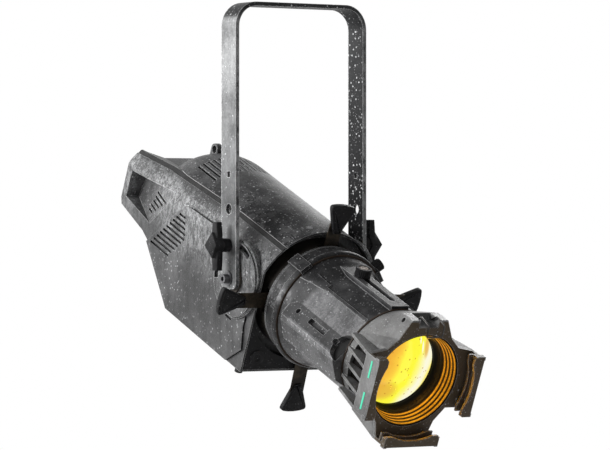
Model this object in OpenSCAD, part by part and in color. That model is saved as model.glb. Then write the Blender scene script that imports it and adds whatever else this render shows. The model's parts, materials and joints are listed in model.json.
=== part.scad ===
// Ellipsoidal spotlight with an LED light engine, hung from its yoke.
// Origin: centre of the clamp hole, on the yoke's top face. +Z up, the light faces -Y.
// The head is drawn in the frame of its optical axis: x across, y up, z forward,
// with its zero plane close behind the tilt pivot.

/* [Yoke] */
// Gap between the domed top and each leg
leg_gap = 4; // [3:0.5:12]
// Width of the flat bar, fore and aft
yoke_bar_w = 36; // [30:1:48]
// Thickness of the flat bar
yoke_t = 5.5; // [4:0.5:6]
// Outer radius of the two bends
yoke_bend_r = 34; // [20:1:60]
// Height of the top face above the tilt pivot
yoke_rise = 376; // [350:1:420]
// How far the legs reach below the tilt pivot
leg_tail = 14; // [12:1:30]
// Radius of the corners at the leg ends
leg_corner_r = 9; // [4:1:14]
// Diameter of the clamp hole in the top
clamp_hole_d = 13; // [10:0.5:20]
// Diameter of the lower spare hole in each leg
leg_hole_d = 14.5; // [10:0.5:18]
// Height of the lower spare hole above the pivot
leg_hole_rise = 94.5; // [80:0.5:110]
// Width of the small slot higher up each leg
leg_slot_w = 6.5; // [4:0.5:10]
// Height of the small slot higher up each leg
leg_slot_h = 8; // [5:0.5:14]
// Height of the small slot above the pivot
leg_slot_rise = 141.5; // [125:0.5:170]

/* [Tilt] */
// Angle of the head below level
tilt = 23.5; // [0:0.5:60]
// Furthest angle of the head above level
nose_up = 20; // [10:1:25]
// Furthest angle of the head below level
nose_down = 104; // [90:1:110]
// Diameter of the pivot screws
pivot_d = 8; // [6:0.5:10]
// Diameter of the pivot screw heads
pivot_head_d = 13; // [12:0.5:16]
// Height of the pivot screw heads
pivot_head_h = 8; // [5:0.5:10]
// Thickness of the washer under a pivot screw head
pivot_washer_t = 2; // [1:0.5:4]
// Radius of the pivot discs
disc_r = 54; // [53:0.5:56]
// Thickness of the friction washers
friction_t = 3; // [1.5:0.5:4]
// Radius of the friction washers
friction_r = 20; // [12:1:25]
// Height of the tilt knobs above the pivot
knob_rise = 45.5; // [43:0.5:46]
// Diameter of the clamp bolts
bolt_d = 8; // [6:0.5:8]
// Diameter of the knob stem
knob_stem_d = 19; // [15:0.5:22]
// Length of the knob stem
knob_stem_l = 14; // [10:1:20]
// Length of the knob bar from end to end
knob_bar_l = 67; // [50:1:80]
// Width of the knob bar at its ends
knob_bar_w = 9; // [7:0.5:12]
// Thickness of the knob bar
knob_bar_t = 9; // [7:0.5:12]
// Width of the diamond hub of the knob
knob_hub_w = 31; // [24:1:34]
// Height of the diamond hub of the knob
knob_hub_l = 40; // [30:1:46]
// Thickness of the diamond hub of the knob
knob_hub_t = 16; // [12:1:20]

/* [Housing] */
// Drop of the optical axis below the tilt pivot
axis_drop = 6.7; // [4:0.1:12]
// Distance of the tilt pivot ahead of the head's zero plane
pivot_z = 5.8; // [0:0.1:10]
// How far the domed top stands out beyond the flat sides
dome_bulge = 8; // [6:0.5:10]
// Width of the housing over its flat sides
housing_w = 180; // [176:1:184]
// Wall thickness of the shells
wall = 3; // [2:0.5:4]
// Distance of the housing's front rim ahead of the zero plane
body_front = 57; // [55:1:65]
// Distance of the dome's round end behind the zero plane
dome_back = 200; // [190:1:215]
// Distance of the housing's rear end behind the zero plane
tail_back = 324; // [318:1:334]
// Depth of the underside below the optical axis
base_drop = 109; // [106:1:120]
// Height of the side seam above the optical axis
seam_h = 75; // [72:1:80]
// Fall of the seam towards the back, in degrees
seam_fall = 2; // [1:0.5:3]
// Fall of the seam along the tail, in degrees
tail_fall = 5.5; // [4:0.5:7]
// Width of the groove under the seam
groove_w = 5; // [4:0.5:9]
// Depth of the groove under the seam
groove_d = 2; // [1:0.25:2.5]
// Depth of the rear deck below the seam
deck_drop = 11; // [8:1:14]
// Half width of the flat middle of the rear deck
deck_half_w = 37; // [30:1:45]
// Thickness of the raised side panels
panel_t = 3; // [2:0.5:4]
// Width of the vent slots
vent_w = 3.5; // [2:0.25:4]
// Length of the longest vent slots in a side panel
vent_l = 51; // [40:1:55]
// Thickness of the front bezel
bezel_t = 6; // [4:1:10]
// Diameter of the round plug in the bezel
plug_d = 22; // [16:1:24]
// Diameter of the feet
foot_d = 11; // [8:1:13]
// Height of the feet
foot_h = 5; // [3:1:8]
// Hole diameter of the safety eye
eye_hole_d = 11; // [8:0.5:13]
// Thickness of the safety eye
eye_t = 8; // [6:0.5:12]

/* [Rear panel] */
// Distance of the rear panel's outer face behind the zero plane
rear_face_back = 310; // [306:1:312]
// Thickness of the rear panel
rear_t = 3; // [2:0.5:4]
// Width of the display window
window_w = 46; // [30:1:60]
// Height of the display window
window_h = 20; // [14:1:22]
// Diameter of the buttons
button_d = 10; // [7:0.5:10.5]
// Spacing of the buttons
button_pitch = 16; // [13:0.5:16.5]
// How far the buttons stand out of the panel when pressed
button_out = 2.8; // [2:0.2:5]
// Travel of the buttons
button_travel = 1.2; // [0.8:0.1:2]
// Flange diameter of the sockets
socket_d = 24; // [20:0.5:24.5]
// Height between the two sockets of a pair
socket_pitch = 30; // [28:0.5:32]

/* [Light engine] */
// Inner radius of the condenser holder
holder_r = 50; // [46:0.5:52]
// Wall of the condenser holder
holder_wall = 4; // [2:0.5:5]
// Distance of the light engine's board behind the zero plane
board_back = 92; // [85:1:100]
// Length of the heat sink's fins
fin_l = 84; // [70:1:88]
// Number of fins
fin_count = 15; // [9:2:17]
// Thickness of a fin
fin_t = 2; // [1.5:0.25:2.5]
// Side of the square fan
fan_w = 92; // [80:1:100]
// Thickness of the fan
fan_t = 25; // [20:1:30]
// Number of fan blades
fan_blades = 7; // [5:1:9]

/* [Shutters] */
// Gap between the shutter ring and the housing's flat sides
ring_gap = 8; // [6:0.5:10]
// Wall of the shutter ring's chamber
ring_wall = 3; // [3:0.25:5]
// Radius of the gate opening
gate_r = 40; // [36:0.5:42]
// Thickness of a blade
blade_t = 1.2; // [0.8:0.1:1.4]
// Gap between blades
blade_gap = 0.6; // [0.4:0.05:0.8]
// Width of a blade's neck
neck_w = 22; // [16:1:24]
// Length of a shutter handle
handle_l = 42; // [34:1:46]
// Width of a shutter handle at its outer end
handle_w = 39; // [32:1:44]
// Thickness of a shutter handle
handle_t = 8; // [7:0.25:9]
// Full travel of a shutter
shutter_travel = 44; // [36:1:44]
// How far the top shutter is pushed in
push_top = 35; // [0:1:36]
// How far the left shutter is pushed in
push_left = 20; // [0:1:36]
// How far the bottom shutter is pushed in
push_bottom = 8; // [0:1:36]
// How far the right shutter is pushed in
push_right = 0; // [0:1:36]
// Angle by which the top shutter is skewed
skew_top = -4; // [-5:0.5:5]
// Angle by which the bottom shutter is skewed
skew_bottom = 2.5; // [-5:0.5:5]
// Angle by which the right shutter is skewed
skew_right = -1.5; // [-5:0.5:5]

/* [Barrel] */
// Distance of the seam between ring and barrel ahead of the zero plane
barrel_back = 91; // [89:0.5:95]
// Distance of the barrel's front edge ahead of the zero plane
barrel_front = 249; // [246:1:256]
// Outer radius of the barrel at its front
barrel_r = 70; // [69:0.5:73]
// Outer radius of the sliding lens tube
tube_r = 62; // [60:0.5:62.5]
// Wall of the lens tube
tube_wall = 3.5; // [2.5:0.5:4]
// Height of the ribs along the barrel
rib_h = 2.5; // [1.5:0.5:6]
// Width of the ribs along the barrel
rib_w = 5; // [4:0.5:10]
// Half width of the focus rail on top of the barrel
rail_half_w = 14; // [10:1:16]
// Outer radius of the focus rail
rail_r = 75.5; // [74:0.5:80]
// Width of the slot in the focus rail
focus_slot_w = 9; // [7:0.5:12]
// Distance of the focus knob ahead of the zero plane
focus_z = 153; // [150:1:160]
// Focus travel of the lens tube
focus_travel = 70; // [50:1:72]
// Diameter of the focus knob
focus_knob_d = 22; // [16:1:26]
// Height of the focus knob
focus_knob_h = 12; // [8:0.5:14]
// How far the side pods stand out beyond the frame clips
pod_out = 3.5; // [1:0.5:5]

/* [Lens cap] */
// Distance of the cap's front plate ahead of the zero plane
plate_front = 318; // [314:1:324]
// Thickness of the front plate
plate_t = 6; // [4:1:8]
// Width of the frames that the clips hold
frame_w = 158.75; // [150:0.25:162]
// Play around a frame in its clips
frame_play = 1.75; // [1:0.25:3]
// Thickness of the clip walls
clip_wall = 4.25; // [3:0.25:7]
// Depth of the rear frame slot
slot_rear = 8; // [7:0.5:10]
// Depth of the front frame slot
slot_front = 10; // [7:0.5:12]
// Thickness of the rail between the slots
rail_mid_t = 3; // [2:0.5:4]
// Thickness of the front rail
rail_front_t = 4; // [3:0.5:6]
// Half length of the side clips
clip_half_l = 41; // [36:0.5:46]
// Radius of the bore that holds the baffle ring
baffle_r = 66; // [64.5:0.25:66]
// Number of steps in the baffle ring
baffle_steps = 5; // [3:1:7]
// Clear radius in front of the lens
lens_clear_r = 54; // [50:0.5:55]
// Radius of the front lens
lens_r = 57.5; // [56:0.5:59]
// Radius of curvature of the front lens
lens_curve_r = 120; // [100:5:200]
// Radius of the latch wire
wire_r = 1.3; // [1:0.1:1.6]
// Half width of the latch wire
latch_half_w = 12.5; // [10:0.5:13]

/* [Hidden] */
$fn = 96;

// Clearances
fit = 0.08;
seat_gap = 0.3;
part_gap = 0.2;
far = 400;

// Yoke and tilt
side_x = housing_w / 2;
dome_r = side_x + dome_bulge;
yoke_in = dome_r + leg_gap;
yoke_w = 2 * (yoke_in + yoke_t);
disc_face = yoke_in - friction_t - seat_gap;
channel_t = 4.2;
bolt_head_r = 6.5;
bolt_head_t = 3.4;
channel_play = 0.9;
slot_spare = 2;
slot_play = 0.6;
disc_step = 2.5;
knob_back = yoke_w / 2 + seat_gap;
knob_hub_x = knob_back + knob_stem_l;
bolt_grip = 24;
washer_rim = 3;
pivot_washer_x = yoke_w / 2 + seat_gap;
hex_share = 0.55;

// Housing outline in the side view
seam_bend = -62;
tail_bend = -240;
tail_rise = 45;
tail_low = -22;
knee_z = -252;
knee_y = -34;
panel_back = -232;
panel_low_y = -42;
base_back = -148;
tail_lean = 10;
tail_chin = 9;
tail_heel = 5;
deck_edge = side_x - 15;
deck_back = rear_face_back + 6;
base_half_w = side_x - 12;

// Vent slots of a side panel: the lowest slot's rear end, and the step to the next
vent_count = 10;
vent_z = -221;
vent_y = -37;
vent_step = [6.1, 7.33];
vent_short = 17;
vent_grow = 9;
low_vent_z = -3;
low_vent_y = -51;
low_vent_l = 16;
low_vent_count = 4;

// Grip pocket: its outline in the side view, front edge first
pocket_top = [-188, 48];
pocket_low = [-238, -17];
pocket_heel = [-312, -7];
pocket_head = [-311, 33];
pocket_vents = 5;
pocket_lip = 0.8;

// Front of the housing
bulkhead_front = body_front - 17;
bulkhead_t = 6;
bulkhead_back = bulkhead_front - bulkhead_t;
plug_at = [-side_x + 22, -base_drop + 21];
bezel_r = side_x + 2;
plug_h = 1.2;
retainer_t = 5;
retainer_rim = 8;
bearing_wall = 6;
ring_r = side_x - ring_gap;
chamber_r = ring_r - ring_wall;
bearing_r = ring_r - 20;
bearing_back = bulkhead_back - retainer_t - 2 * seat_gap;

// Shutter pack along the axis
chamber_back = body_front + 2;
pack_l = 4 * blade_t + 5 * blade_gap;
chamber_front = chamber_back + pack_l;
ring_wall_front = chamber_front + part_gap;
front_plate_t = 3;
handle_back = chamber_back - 0.4;
tip_r = ring_r + 8 + shutter_travel;
handle_grip = 13;
blade_out_r = chamber_r - 1;
ring_slot_w = neck_w + 14;
shutter_sides = [90, 180, 270, 0];
shutter_angles = [90 + skew_top, 180, 270 + skew_bottom, skew_right];
shutter_push = [push_top, push_left, push_bottom, push_right];

// Barrel
barrel_start = barrel_back + part_gap;
bore_r = tube_r + fit;
cavity_r = tube_r + 4;
guide_l = 10;
guide_back = 136;
rib_angle = 131;
split_y = barrel_r * sin(rib_angle) - 1;
bell_r = ring_r - 0.5;
clamp_w = 18;
clamp_h = 6;
clamp_back = ring_wall_front + 2;
clamp_front = barrel_back + 12;
lock_z = (clamp_back + barrel_back) / 2;
lock_d = 6;
lock_head_d = 15;
lock_head_h = 14;
lock_angle = 37;
slot_end = focus_z + focus_travel + focus_slot_w;
focus_screw_d = 6;
pod_back = 104;
pod_low = -39;
pod_hole_d = 8;
pod_edge_y = 5;
pod_hole_in = 11;
scoop_d = 40;
scoop_depth = 9;

// Lens cap
cap_back = barrel_front + 3;
cap_r = barrel_r + 1;
tube_back = 130;
tube_front = cap_back + 10;
lens_seat = tube_front + 2;
lens_edge = 8;
clip_in = (frame_w + frame_play) / 2;
clip_out = clip_in + clip_wall;
pod_x = clip_out + pod_out;
mid_back = plate_front + slot_rear;
mid_front = mid_back + rail_mid_t;
rail_back = mid_front + slot_front;
cap_front = rail_back + rail_front_t;
rail_reach = 11;
scallop_r = clip_in - 4;
lug_l = 5;
lug_t = 8;
brow_half_w = 28.5;
brow_y = 86.5;
latch_y = 81;
latch_z = plate_front - 15;
baffle_lip = 5;

// Light engine
board_t = 4;
sink_base_t = 8;
sink_front = -board_back - board_t;
fin_back = sink_front - sink_base_t - fin_l;
fan_front = fin_back - seat_gap;
fan_back = fan_front - fan_t;
fan_hole_r = fan_w / 2 - 3;
fan_hub_r = 18;
shaft_r = 2;
cup_r = dome_r - 21;
psu_half_w = base_half_w - 8;
psu_l = 125;
psu_top = -64;

// Points of a closed outline moved inwards by d; the outline runs anticlockwise
function unit(v) = v / norm(v);
function left_of(a, b) = let (u = unit(b - a)) [-u[1], u[0]];
function inset(p, d) = let (n = len(p))
    [for (i = [0:n - 1])
        let (a = left_of(p[(i + n - 1) % n], p[i]))
        let (b = left_of(p[i], p[(i + 1) % n]))
        p[i] + d * (a + b) / (1 + a * b)];

// Height of the side seam at a distance z ahead of the zero plane
function seam_y(z) = z > seam_bend ? seam_h
    : z > tail_bend ? seam_h - tan(seam_fall) * (seam_bend - z)
    : seam_h - tan(seam_fall) * (seam_bend - tail_bend) - tan(tail_fall) * (tail_bend - z);

// Side view of the housing, drawn to a front rim and a rear end
function housing_outline(front, tail) = [
    [front, -base_drop], [front, dome_r + wall], [-tail + tail_lean, dome_r + wall],
    [-tail, tail_rise], [-tail, tail_low + tail_chin], [-tail + tail_heel, tail_low], [knee_z, knee_y],
    [panel_back, panel_low_y], [base_back, -base_drop]];

// Frame of the optical axis
module head() {
    translate([0, 0, -yoke_rise])
        rotate([tilt, 0, 0])
            translate([0, pivot_z, -axis_drop])
                rotate([90, 0, 0])
                    children();
}

// Something drawn on the +x side, put on the side s
module on_side(s) {
    mirror([s < 0 ? 1 : 0, 0, 0]) children();
}

// Side-view outline [z, y] made solid from x0 outwards by t on the +x side
module side_plate(points, x0, t) {
    translate([x0 + t, 0, 0])
        rotate([0, -90, 0])
            linear_extrude(height = t) polygon(points);
}

// Round bar along x at a height y and a distance z
module cross_bar(x0, x1, y, z, r) {
    translate([x0, y, z])
        rotate([0, 90, 0])
            cylinder(h = x1 - x0, r = r);
}

// Round bar along the optical axis
module axis_bar(z0, z1, r) {
    translate([0, 0, z0]) cylinder(h = z1 - z0, r = r);
}

// Ring along the optical axis
module axis_ring(z0, z1, r_in, r_out) {
    difference() {
        axis_bar(z0, z1, r_out);
        axis_bar(z0 - 1, z1 + 1, r_in);
    }
}

// Round bar that points away from the optical axis at an angle
module spoke(angle, z, r0, r1, r) {
    rotate([0, 0, angle])
        translate([r0, 0, z])
            rotate([0, 90, 0])
                cylinder(h = r1 - r0, r = r);
}

// Block that points away from the optical axis at an angle
module spoke_block(angle, r0, r1, w, z0, z1) {
    rotate([0, 0, angle])
        translate([r0, -w / 2, z0])
            cube([r1 - r0, w, z1 - z0]);
}

// Solid rounded U of the yoke, to an outer half width and corner radius
module yoke_arch(half_w, r, top, drop) {
    rotate([90, 0, 0])
        linear_extrude(height = yoke_bar_w, center = true) {
            translate([-half_w, -drop]) square([2 * half_w, drop + top - r]);
            translate([-half_w + r, -drop]) square([2 * (half_w - r), drop + top]);
            for (s = [-1, 1]) translate([s * (half_w - r), top - r]) circle(r = r);
        }
}

// Hole along x through both legs at a height above the pivot
module leg_bore(rise, r) {
    cross_bar(-yoke_w, yoke_w, 0, -yoke_rise + rise, r);
}

module yoke() {
    leg_end = yoke_rise + leg_tail;
    color("dimgray")
        difference() {
            intersection() {
                yoke_arch(yoke_w / 2, yoke_bend_r, 0, leg_end);
                union() {
                    translate([-far / 2, -yoke_bar_w / 2, -leg_end + leg_corner_r])
                        cube([far, yoke_bar_w, leg_end]);
                    translate([-far / 2, -yoke_bar_w / 2 + leg_corner_r, -leg_end])
                        cube([far, yoke_bar_w - 2 * leg_corner_r, leg_end]);
                    for (s = [-1, 1])
                        cross_bar(-far / 2, far / 2, s * (yoke_bar_w / 2 - leg_corner_r),
                                  -leg_end + leg_corner_r, leg_corner_r);
                }
            }
            yoke_arch_hollow();
            translate([0, 0, -2 * yoke_t]) cylinder(h = 4 * yoke_t, d = clamp_hole_d);
            leg_bore(0, pivot_d / 2 + fit);
            leg_bore(knob_rise, bolt_d / 2 + fit);
            leg_bore(leg_hole_rise, leg_hole_d / 2);
            translate([-yoke_w, -leg_slot_w / 2, -yoke_rise + leg_slot_rise - leg_slot_h / 2])
                cube([2 * yoke_w, leg_slot_w, leg_slot_h]);
        }
}

// Space inside the yoke's U
module yoke_arch_hollow() {
    in_r = yoke_bend_r - yoke_t;
    rotate([90, 0, 0])
        linear_extrude(height = 2 * yoke_bar_w, center = true) {
            translate([-yoke_in, -far - leg_tail]) square([2 * yoke_in, far + leg_tail - yoke_t - in_r]);
            translate([-yoke_in + in_r, -far]) square([2 * (yoke_in - in_r), far - yoke_t]);
            for (s = [-1, 1]) translate([s * (yoke_in - in_r), -yoke_t - in_r]) circle(r = in_r);
        }
}

module friction_washers() {
    color("saddlebrown")
        for (s = [-1, 1])
            on_side(s)
                difference() {
                    cross_bar(yoke_in - friction_t, yoke_in, 0, -yoke_rise, friction_r);
                    leg_bore(0, pivot_d / 2 + seat_gap);
                }
}

// Bolts of the tilt clamp: a round head in the disc's channel and a shank out to the knob
module tilt_bolts() {
    head_x = side_x + (channel_t - bolt_head_t) / 2;
    color("silver")
        for (s = [-1, 1])
            on_side(s) {
                cross_bar(head_x, head_x + bolt_head_t, 0, -yoke_rise + knob_rise, bolt_head_r);
                cross_bar(head_x + 1, knob_back + bolt_grip, 0, -yoke_rise + knob_rise, bolt_d / 2);
            }
}

// Knob drawn for the +x leg: stem, bar and diamond hub
module tilt_knob(s) {
    end = knob_bar_l / 2;
    hub = knob_hub_w / 2;
    peak = knob_hub_l / 2;
    bar = knob_bar_w / 2;
    waist = bar + 2;
    lean = (knob_hub_t - knob_bar_t) / 2;
    color("#222222")
        on_side(s)
            difference() {
                union() {
                    cross_bar(knob_back, knob_hub_x + 1, 0, -yoke_rise + knob_rise, knob_stem_d / 2);
                    translate([knob_hub_x + lean, 0, -yoke_rise + knob_rise])
                        rotate([90, 0, 90])
                            linear_extrude(height = knob_bar_t)
                                polygon([[-bar, -end], [bar, -end], [waist, -hub], [hub, 0], [waist, hub],
                                         [bar, end], [-bar, end], [-waist, hub], [-hub, 0], [-waist, -hub]]);
                    translate([knob_hub_x, 0, -yoke_rise + knob_rise])
                        rotate([90, 0, 90])
                            linear_extrude(height = knob_hub_t)
                                polygon([[0, -peak], [hub, 0], [0, peak], [-hub, 0]]);
                }
                cross_bar(0, knob_back + bolt_grip + seat_gap, 0, -yoke_rise + knob_rise, bolt_d / 2 + fit);
            }
}

// Arc on the +x side about the pivot, over the tilt range and a spare angle at both ends
module tilt_arc(x0, t, r_in, r_out, spare) {
    first = 90 - nose_up - spare;
    last = 90 + nose_down + spare;
    translate([x0, axis_drop, pivot_z])
        rotate([0, 90, 0])
            rotate([0, 0, 180 - last])
                rotate_extrude(angle = last - first)
                    translate([r_in, 0]) square([r_out - r_in, t]);
}

// Disc on the side of the head, with the channel and arc slot of the clamp
module pivot_disc(s) {
    step_x = side_x + channel_t + 1;
    head_room = bolt_head_r + channel_play;
    slot_room = bolt_d / 2 + slot_play;
    head_spare = asin(head_room / knob_rise) + slot_spare;
    slot_spare_deg = asin(slot_room / knob_rise) + slot_spare;
    color("dimgray")
        head()
            on_side(s)
                difference() {
                    union() {
                        cross_bar(side_x, step_x, axis_drop, pivot_z, disc_r);
                        cross_bar(side_x, disc_face, axis_drop, pivot_z, disc_r - disc_step);
                    }
                    tilt_arc(side_x - 1, channel_t + 1, knob_rise - head_room, knob_rise + head_room, head_spare);
                    tilt_arc(side_x, far / 10, knob_rise - slot_room, knob_rise + slot_room, slot_spare_deg);
                    cross_bar(side_x - 1, yoke_w, axis_drop, pivot_z, pivot_d / 2 + fit);
                    translate([0, -far, body_front]) cube([far, 2 * far, far]);
                }
}

module pivot_screws() {
    head_x = pivot_washer_x + pivot_washer_t;
    color("silver")
        head()
            for (s = [-1, 1])
                on_side(s) {
                    difference() {
                        union() {
                            cross_bar(side_x, head_x + 1, axis_drop, pivot_z, pivot_d / 2);
                            cross_bar(head_x, head_x + pivot_head_h, axis_drop, pivot_z, pivot_head_d / 2);
                        }
                        translate([head_x + pivot_head_h / 2, axis_drop, pivot_z])
                            rotate([0, 90, 0])
                                cylinder(h = pivot_head_h, d = pivot_head_d * hex_share, $fn = 6);
                    }
                    difference() {
                        cross_bar(pivot_washer_x, head_x, axis_drop, pivot_z, pivot_head_d / 2 + washer_rim);
                        cross_bar(0, yoke_w, axis_drop, pivot_z, pivot_d / 2 + fit);
                    }
                }
}

// Domed top of the housing as a solid of radius r
module dome(r, front) {
    axis_bar(-dome_back, front, r);
    translate([0, 0, -dome_back]) sphere(r = r);
}

// Region above the side seam, lowered by drop
module cover_region(drop) {
    side_plate([[far, seam_h - drop], [far, far], [-far, far], [-far, seam_y(-far) - drop],
                [tail_bend, seam_y(tail_bend) - drop], [seam_bend, seam_h - drop]], -far, 2 * far);
}

// Solid along the tail's fall, from its cross section [x, height above the seam]
module along_tail(points) {
    ahead = 35;
    translate([0, seam_y(tail_bend), tail_bend])
        rotate([-tail_fall, 0, 0])
            translate([0, 0, ahead - far])
                linear_extrude(height = far) polygon(points);
}

// Cross section of the rear deck: a shallow valley, lowered by drop
function deck_rise(x) = -deck_drop + (x - deck_half_w) * deck_drop / (deck_edge - deck_half_w);
function valley(drop) = [[dome_r, deck_rise(dome_r) - drop], [deck_half_w, -deck_drop - drop],
                         [-deck_half_w, -deck_drop - drop], [-dome_r, deck_rise(dome_r) - drop]];

// Space above the rear deck, lowered by drop
module above_deck(drop) {
    along_tail(concat(valley(drop), [[-dome_r, far], [dome_r, far]]));
}

// Places of the two screws at the front of the top cover
cover_screw_angles = [79, 101];
cover_screw_z = bulkhead_front - bulkhead_t / 2;

module top_cover() {
    inner_r = dome_r - wall;
    slot_l = 50;
    first_vent = 92.5;
    vent_turn = 4.9;
    color("#3a3a3a")
        head()
            difference() {
                union() {
                    intersection() {
                        difference() {
                            dome(dome_r, body_front);
                            dome(inner_r, far);
                        }
                        union() {
                            cover_region(0);
                            intersection() {
                                above_deck(wall / 2);
                                axis_bar(-far, far, inner_r - part_gap);
                            }
                        }
                    }
                    intersection() {
                        difference() {
                            above_deck(wall);
                            above_deck(0);
                            dome(inner_r, 0);
                        }
                        axis_bar(-deck_back, 0, inner_r - part_gap);
                    }
                }
                for (i = [0:6])
                    for (side = [-1, 1])
                        spoke_block(90 + side * (first_vent - 90 + i * vent_turn), dome_r - 3 * wall, dome_r + wall,
                                    vent_w, -dome_back - 7, -dome_back - 7 + slot_l);
                for (a = cover_screw_angles) {
                    spoke(a, cover_screw_z, 0, far, 2 + fit);
                    spoke(a, cover_screw_z, dome_r - 2, far, 4.5);
                }
            }
}

// Side vents, drawn for the +x side
module side_vents() {
    depth = 4 * wall + 2 * panel_t;
    for (i = [0:vent_count - 1]) {
        l = min(vent_l, vent_short + vent_grow * (vent_count - 1 - i));
        translate([side_x - depth / 2, vent_y + i * vent_step[1] - vent_w / 2, vent_z + i * vent_step[0]])
            cube([depth, vent_w, l]);
    }
    for (i = [0:low_vent_count - 1])
        translate([side_x - depth / 2, low_vent_y + i * 2 * vent_w - vent_w / 2, low_vent_z + i * 4])
            cube([depth, vent_w, low_vent_l]);
}

// Grip pocket on the +x side, grown by g for the wall around it
module pocket(g) {
    edge = pocket_top - pocket_low;
    lean = atan2(edge[0], edge[1]);
    back = unit(edge);
    deep = (pocket_head - pocket_low) * [-back[1], back[0]];
    ramp = atan(pocket_depth / deep);
    intersection() {
        side_plate(inset([pocket_top, pocket_head, pocket_heel, pocket_low], -g), 0, far);
        translate([side_x, pocket_low[1], pocket_low[0]])
            rotate([lean, 0, 0])
                rotate([0, ramp, 0])
                    translate([-g - pocket_lip, -far, -far])
                        cube([far, 2 * far, 1.5 * far]);
    }
}

module pocket_slots() {
    for (i = [0:pocket_vents - 1])
        translate([side_x - 2 * pocket_depth, -6 + i * 7, -262 + i * 2])
            cube([2 * pocket_depth + 1, vent_w, 18 + i * 6]);
}

// Outer form of the housing below the dome, or its hollow when moved inwards by d
module housing_form(d) {
    open = d > 0 ? 2 * wall : 0;
    intersection() {
        side_plate(inset(housing_outline(body_front + open, tail_back + open), d), -side_x + d,
                   2 * (side_x - d));
        union() {
            axis_bar(-far, far, dome_r - d);
            translate([-far, -far, -far]) cube([2 * far, far, 2 * far]);
        }
    }
}

// Walls of the housing below the seam
module housing_walls() {
    difference() {
        housing_form(0);
        housing_form(wall);
        cover_region(part_gap);
    }
}

// One side casting, drawn for the +x side
module side_shell(s) {
    color("#464646")
        head()
            on_side(s)
                difference() {
                    union() {
                        difference() {
                            intersection() {
                                housing_walls();
                                translate([part_gap, -far, -far]) cube([far, 2 * far, 2 * far]);
                            }
                            translate([-1, -far, -far]) cube([base_half_w + 1, far, 2 * far]);
                        }
                        intersection() {
                            pocket(wall);
                            housing_form(0);
                        }
                    }
                    pocket(0);
                    pocket_slots();
                    side_vents();
                    seam_groove();
                }
}

// Band along the seam on the +x side, from its top down by w, ended at z0 and z1
module seam_band(top, w, z0, z1) {
    side_plate([[z1, seam_h - top - w], [z1, seam_h - top], [seam_bend, seam_h - top],
                [tail_bend, seam_y(tail_bend) - top], [z0, seam_y(z0) - top], [z0, seam_y(z0) - top - w],
                [tail_bend, seam_y(tail_bend) - top - w], [seam_bend, seam_h - top - w]], 0, far);
}

// Groove along the top edge of a shell
module seam_groove() {
    difference() {
        seam_band(-1, groove_w + 1, -far, far);
        axis_bar(-far, far, dome_r - groove_d);
    }
}

// Dark strips that lie in the grooves
module seam_strips() {
    strip_t = 1.2;
    in_r = dome_r - groove_d + part_gap / 4;
    color("#111111")
        head()
            for (s = [-1, 1])
                on_side(s)
                    intersection() {
                        axis_ring(-far, far, in_r, in_r + strip_t);
                        seam_band(2 * part_gap, groove_w - 3 * part_gap, -tail_back + 3, body_front - 1);
                    }
}

// Raised side cover, drawn for the +x side
module side_panel(s) {
    front_z = 43;
    color("#505050")
        head()
            on_side(s)
                difference() {
                    side_plate([[21, -base_drop + 1], [51, -79], [front_z, -48], [front_z, 20],
                                [-82, 50], [-143, 47.5], [-156, 44], [-166, 36.5], [panel_back, panel_low_y],
                                [base_back, -base_drop + 1]], side_x, panel_t);
                    cross_bar(0, far, axis_drop, pivot_z, disc_r + seat_gap);
                    side_vents();
                }
}

// Screws of the base cover, as [x, z] seen from below
base_screws = [for (x = [-1, 1]) for (z = [body_front - 30, base_back + 15]) [x * (base_half_w - 6), z]];

module base_cover() {
    color("#303030")
        head()
            intersection() {
                difference() {
                    housing_walls();
                    for (p = base_screws) translate([p[0], -far, p[1]]) rotate([-90, 0, 0]) cylinder(h = far, r = 2 + fit);
                }
                translate([-base_half_w + part_gap, -far - 1, -far])
                    cube([2 * (base_half_w - part_gap), far, 2 * far]);
            }
}

module front_bezel() {
    half = side_x - wall - part_gap;
    low = base_drop - wall - part_gap;
    color("#262626")
        head()
            difference() {
                translate([-half, -low, body_front - bezel_t]) cube([2 * half, low - 20, bezel_t]);
                axis_bar(0, far, bezel_r);
                translate([plug_at[0], plug_at[1], 0]) cylinder(h = far, d = plug_d - 6);
            }
}

module vent_plug() {
    color("#1c1c1c")
        head()
            translate([plug_at[0], plug_at[1], 0])
                difference() {
                    union() {
                        axis_bar(body_front - bezel_t - 2, body_front + 1, plug_d / 2 - 3 - fit);
                        axis_bar(body_front, body_front + plug_h, plug_d / 2);
                    }
                    axis_bar(body_front + plug_h / 2, far, plug_d / 4);
                }
}

module feet() {
    color("#141414")
        head()
            for (x = [-1, 1])
                for (at = [[side_x - foot_d / 2, body_front - foot_d], [side_x / 3, base_back + foot_d]])
                    translate([x * at[0], -base_drop, at[1]])
                        rotate([90, 0, 0])
                            cylinder(h = foot_h, d = foot_d);
}

// Safety eye on the dome's round end
eye_back = dome_r * sin(29);
eye_z = -dome_back - eye_back;
eye_top = sqrt(dome_r * dome_r - eye_back * eye_back) + 15.3;

module safety_eye() {
    ring = eye_hole_d / 2 + 3;
    color("#3a3a3a")
        head()
            difference() {
                union() {
                    cross_bar(-eye_t / 2, eye_t / 2, eye_top - ring, eye_z, ring);
                    translate([-eye_t / 2, eye_top - ring - 20, eye_z - ring]) cube([eye_t, 20, 2 * ring]);
                }
                cross_bar(-far, far, eye_top - ring, eye_z, eye_hole_d / 2);
                dome(dome_r, 0);
            }
}

module front_bulkhead() {
    half = side_x - wall - part_gap;
    color("#555555")
        head()
            difference() {
                intersection() {
                    axis_bar(bulkhead_back, bulkhead_front, dome_r - wall - part_gap);
                    translate([-half, -far / 2, 0]) cube([2 * half, far, far]);
                }
                axis_bar(0, far, bearing_r + fit);
                for (a = cover_screw_angles) spoke(a, cover_screw_z, 0, far, 2 + fit);
            }
}

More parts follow.
